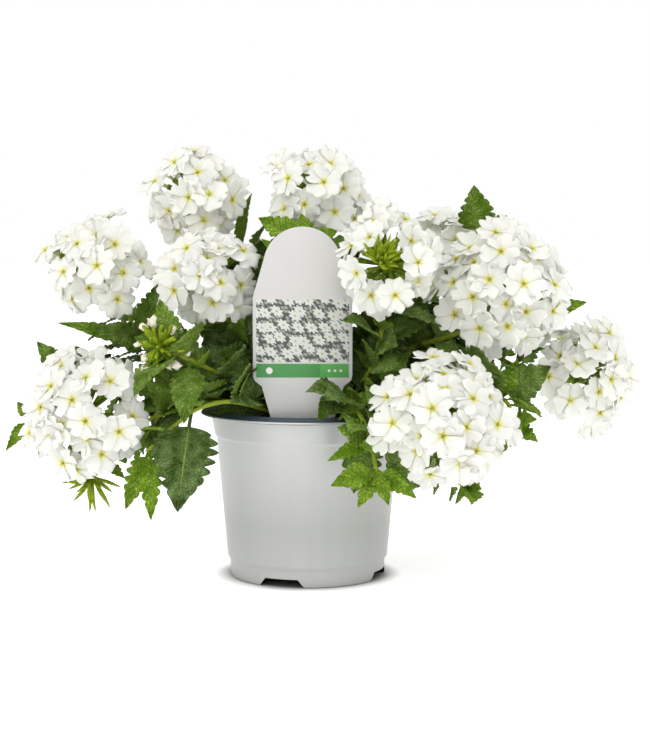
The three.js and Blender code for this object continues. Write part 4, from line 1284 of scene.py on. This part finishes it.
def add_leaf(bm, age_layer, leaf, width, age, random):
    """A toothed, quilted leaf as a sheet: a grid drawn out along the leaf and shaped across it."""
    _, length, _, upper, _ = leaf
    teeth, columns, depth = next(form[1:] for form in LEAF_FORMS if length > form[0])
    rows = PETIOLE_ROWS + TOOTH_ROWS * teeth + TOOTH_ROWS // 2
    depth = drawn(random, depth, TOOTH_DEPTH_SPREAD)
    phase = random() * WAVE_STARTS
    half_width = width / 2 * LEAF_FULLNESS
    curl = swing(random, CURL_SPREAD, CURL_MIDDLE)
    for vert, across, row in add_grid(bm, columns, rows):
        part = max(0, (row - PETIOLE_ROWS) / (rows - PETIOLE_ROWS))
        share = PETIOLE_SHARE * min(1, row / PETIOLE_ROWS) + (1 - PETIOLE_SHARE) * part
        blade = ovate(min(part, BLADE_END)) * (1 - LEAF_TAPER * part ** 3)
        cut = tooth_cut(teeth, depth, part, across, phase)
        reach = max(PETIOLE_HALF_WIDTH * (1 - part), blade * half_width * cut)
        forward = min(1.0, share + EDGE_FORWARD * across ** 2 * part * (1 - share))
        ripple = math.sin(share * EDGE_RIPPLES + phase + across) * EDGE_RIPPLE * width * across ** 2 * part
        vein = (row / rows - VEIN_SLOPE / 2 * abs(across)) * VEIN_COUNT
        quilt = math.cos((vein - VEIN_START) * 2 * math.pi) * -QUILT_DEPTH * width * min(part * QUILT_RISE, 1)
        bend = curl * length * LEAF_CURL * max(share - CURL_FROM, 0) ** 2
        vert.co = Vector(on_leaf(leaf, forward, across * reach) + upper * (ripple + quilt + bend))
        vert[age_layer] = age


def leaf_age(width, share, random):
    """From nothing for a young leaf to one for an old one."""
    age = AGE_AT_FOOT - share + (width - AGE_WIDTH) / AGE_PER_WIDTH + swing(random, AGE_SWING)
    return min(1.0, max(0.0, age))


def make_stem(name, curve, leaves, stem_materials, leaf_materials, random):
    bm = bmesh.new()
    add_stem(bm, curve)
    finish_piece(f"stalk_{name}", bm, stem_materials, (f"stem_{name}",))
    if not leaves:
        return
    bm = uv_mesh()
    age_layer = bm.verts.layers.float.new("age")
    for base, tip, width, to_front, share in leaves:
        age = leaf_age(width, share, random)
        add_leaf(bm, age_layer, leaf_frame(base, tip, to_front), width, age, random)
    piece = finish_piece(f"leaves_{name}", bm, leaf_materials, (f"stem_{name}",))
    thicken(piece, LEAF_THICKNESS)


# Flower heads

def floret_places(name):
    """Centre, axis, spin, rise and way out of each floret: a spiral over the side that the head faces."""
    centre, facing, radius = HEADS[name]
    middle = np.array(centre, float)
    random = seeded_random(round(HEAD_SEED + centre[0] * HEAD_SEED_STEP + centre[2]))
    front = unit(facing)
    cover = 2 * math.pi * (radius - FLORET_SINK) ** 2 * (1 - math.cos(HEAD_COVER))
    count = round(cover / FLORET_AREA)
    start = math.cos(YOUNG_MIDDLE) if name == YOUNG_HEAD else 1
    places = []
    for i in range(count):
        lean = math.acos(start - (i + 0.5) / count * (start - math.cos(HEAD_COVER)))
        lean += swing(random, LEAN_SWING)
        out = leaning(front, lean, i * GOLDEN_ANGLE + swing(random, TURN_SWING))
        rise = radius - RISE_GAP - RISE_SPREAD * random()
        tilt = np.array([swing(random, 1), swing(random, 1), swing(random, 1)]) * FLORET_TILT
        axis = unit(out + front * FRONT_LEAN + tilt)
        places.append((middle + out * rise, axis, random() * 2 * math.pi, rise, out))
    if name == YOUNG_HEAD:
        place, axis, spin = LOOSE_FLORET
        run = np.array(place, float) - middle
        rise = float(np.linalg.norm(run))
        places.append((middle + run, unit(axis), spin, rise, run / rise))
    return places


def add_petal(bm, place, axis, turn, reach, cup, random):
    """A notched petal as a sheet: a small grid drawn out from the throat and curved."""
    out = on_circle(*sideways(axis), turn + swing(random, PETAL_TURN_SWING))
    side = np.cross(axis, out)
    own = reach * drawn(random, *PETAL_REACHES)
    lift = cup + swing(random, PETAL_LIFT_SWING)
    twist = PETAL_TWIST + swing(random, PETAL_TWIST_SWING)
    wave = random() * WAVE_STARTS
    cleft = drawn(random, *CLEFT_DEPTHS)
    for vert, v, row in add_grid(bm, PETAL_COLUMNS, len(PETAL_ROWS) - 1):
        share, sink = PETAL_ROWS[row]
        far = max(share - LIMB_FROM, 0) / (1 - LIMB_FROM)
        rim = RIM_WAVE[0] * math.sin(RIM_WAVE[1] * v + wave * RIM_WAVE_SHIFT) * far ** 2
        notch = cleft * far ** 3 * math.exp(-(v / CLEFT_WIDTH) ** 2)
        shoulder = PETAL_SHOULDER * far ** 2 * abs(v) ** 3
        distance = own * (share + rim - notch - shoulder)
        swell = math.sin(0.5 * math.pi * min(1, share / PETAL_FULL_AT)) ** PETAL_ROUNDNESS
        half = own * (PETAL_FOOT + PETAL_SWELL * swell)
        crease = PETAL_CREASE * abs(v) * far
        ripple = (CROSS_WAVE[0] * math.sin(CROSS_WAVE[1] * v + wave) * far ** 2
                  + LENGTH_WAVE[0] * math.sin(LENGTH_WAVE[1] * share + wave) * v ** 2)
        height = own * (lift * far ** PETAL_CURL + crease + ripple) + twist * v * half - sink
        vert.co = Vector(place + out * distance + side * (v * half) + axis * height)


def add_floret(bm, place, axis, spin, reach, random):
    """Five petals round the throat, which cup together."""
    cup = swing(random, CUP_SPREAD, CUP_MIDDLE)
    for petal in range(PETALS):
        add_petal(bm, place, axis, spin + petal * 2 * math.pi / PETALS, reach, cup, random)


def add_tube(bm, start, end, start_radius, end_radius, sides):
    """A straight tapered tube, closed at both ends."""
    run = Vector(end - start)
    place = Matrix.Translation(Vector((start + end) / 2)) @ turned_to(run).to_4x4()
    bmesh.ops.create_cone(
        bm, cap_ends=True, segments=sides, radius1=start_radius, radius2=end_radius, depth=run.length,
        matrix=place)


def add_flower_axis(bm, middle, front, radius):
    """The knobbly end of the stalk that the head's florets grow from."""
    turn = turned_to(front)
    place = Vector(middle - front * radius * AXIS_SETBACK)
    made = bmesh.ops.create_uvsphere(bm, u_segments=AXIS_SIDES, v_segments=AXIS_ROWS, radius=1)["verts"]
    for vert in made:
        x, y, z = vert.co
        around = math.atan2(y, x)
        knobs = 1 + sum(height * math.sin(count * around + slant * z) for height, count, slant in AXIS_KNOBS)
        across = radius * AXIS_WIDTH * knobs * (AXIS_FULLNESS + AXIS_FLARE * z)
        vert.co = turn @ Vector((x * across, y * across, z * radius * AXIS_LENGTH)) + place


def make_head(name, petal_material, tube_material, calyx_material, random):
    centre, facing, radius = HEADS[name]
    node = f"head_{name}"
    places = floret_places(name)
    reach = FLORET_REACH * (YOUNG_SIZE if name == YOUNG_HEAD else 1)
    bm = uv_mesh()
    for place, axis, spin, _, _ in places:
        add_floret(bm, place, axis, spin, reach, random)
    piece = finish_piece(f"petals_{name}", bm, [petal_material, petal_material], (node,))
    thicken(piece, PETAL_THICKNESS)
    middle = np.array(centre, float)
    tubes = bmesh.new()
    calyxes = bmesh.new()
    for place, axis, _, rise, out in places:
        foot = middle + out * (rise - FLOWER_LENGTH) * FOOT_SHARE
        run = place - axis * THROAT_END - foot
        add_tube(tubes, foot + run * TUBE_FROM, place - axis * THROAT_DEPTH, *TUBE_ENDS)
        add_tube(calyxes, foot, foot + run * CUP_TO, *CUP_ENDS)
    finish_piece(f"tubes_{name}", tubes, [tube_material], (node,))
    add_flower_axis(calyxes, middle, unit(facing), radius)
    finish_piece(f"calyxes_{name}", calyxes, [calyx_material], (node,))


# Buds

def add_calyx(bm, foot, tip, radius, form, random):
    """A ribbed calyx of one of the two forms, with short hairs all round it."""
    axis = unit(tip - foot)
    across, along = sideways(axis)
    bow = across * swing(random, 1) + along * swing(random, 1)
    rings = [(foot + (tip - foot) * share + bow * math.sin(math.pi * share) * CALYX_BOW, across, along)
             for share, _ in form]

    def radius_at(row, turn):
        return radius * form[row][1] * (1 - CALYX_RIB_DEPTH * math.cos(CALYX_RIBS * turn))

    add_wrapped(bm, 2 * CALYX_RIBS, rings, radius_at)
    for _ in range(HAIRS_PER_CALYX):
        row = 1 + int(random() * (len(rings) - 2))
        out = on_circle(across, along, random() * 2 * math.pi)
        root = rings[row][0] + out * radius * form[row][1] * HAIR_ROOT
        way = unit(out + axis * HAIR_LEAN)
        add_tube(bm, root, root + way * drawn(random, *HAIR_LENGTHS), *HAIR_ENDS)


def add_petal_bud(bm, place, axis, radius, random):
    """A lump of folded petals on the end of a calyx."""
    axis = Vector(axis)
    shift = Vector([random() * PETAL_BUD_SHIFT for _ in range(3)])
    made = bmesh.ops.create_icosphere(bm, subdivisions=2, radius=1)["verts"]
    for vert in made:
        lump = 1 + PETAL_BUD_LUMP * noise.noise(vert.co * PETAL_BUD_CREASES + shift)
        stretch = axis * vert.co.dot(axis) * PETAL_BUD_STRETCH
        vert.co = (vert.co + stretch) * (radius * lump) + Vector(place)


def bud_cluster(foot, direction, count, spread, length, random):
    """Feet and tips of buds that fan out round a direction."""
    ends = []
    for i in range(count):
        lean = spread * math.sqrt((i + 0.5) / count) + swing(random, BUD_LEAN_SWING)
        out = leaning(direction, lean, i * GOLDEN_ANGLE + swing(random, BUD_TURN_SWING))
        ends.append((foot + out * BUD_START, foot + out * length * drawn(random, *BUD_LENGTHS)))
    return ends


def make_young_buds(calyx_material, random):
    centre, facing, radius = HEADS[YOUNG_HEAD]
    foot = np.array(centre, float) + unit(facing) * radius * YOUNG_RISE + np.array(YOUNG_SHIFT)
    bm = uv_mesh()
    for start, tip in bud_cluster(foot, unit(YOUNG_WAY), *YOUNG_BUDS, random):
        add_calyx(bm, start, tip, YOUNG_THICKNESS, POINTED_CALYX, random)
    finish_piece("green_buds", bm, [calyx_material], ("young_buds",))


def make_end_buds(name, foot, calyx_material, random):
    """The cluster of buds on the end of a shoot, of which the last ones may be opening."""
    count, spread, length, thickness, way = END_BUDS[name]
    way = unit(way)
    form = BLUNT_CALYX if name == OPENING_BUDS else POINTED_CALYX
    bm = uv_mesh()
    add_tube(bm, foot - way, foot + way * BUD_BASE_LENGTH, *BUD_BASE_ENDS)
    ends = bud_cluster(foot, way, count, spread, length, random)
    for start, tip in ends:
        add_calyx(bm, start, tip, thickness, form, random)
    finish_piece(f"bud_cups_{name}", bm, [calyx_material], (f"stem_{name}",))
    if name != OPENING_BUDS:
        return
    bm = bmesh.new()
    for start, tip in ends[CLOSED_BUDS:]:
        axis = unit(tip - start)
        add_petal_bud(bm, tip + axis * PETAL_BUD_RISE, axis, drawn(random, *PETAL_BUD_RADII), random)
    finish_piece("bud_tips", bm, [bud_blush()], (f"stem_{name}",))


def make_plant():
    random = seeded_random(PLANT_SEED)
    curves = {name: StemCurve(name) for name in STEMS}
    leaves = place_leaves(curves)
    stem_materials = [stem_green()]
    leaf_materials = [leaf_top(), leaf_under()]
    for name, curve in curves.items():
        make_stem(name, curve, leaves[name], stem_materials, leaf_materials, random)
    petal_material = petal_white()
    tube_material = tube_pale()
    calyx_material = calyx_green()
    for name in HEADS:
        make_head(name, petal_material, tube_material, calyx_material, random)
    make_young_buds(calyx_material, random)
    for name in END_BUDS:
        make_end_buds(name, curves[name].at(1), calyx_material, random)


set_up_camera()
set_up_floor()
set_up_light()
make_pot()
make_soil()
make_crumbs()
make_tag()
make_plant()
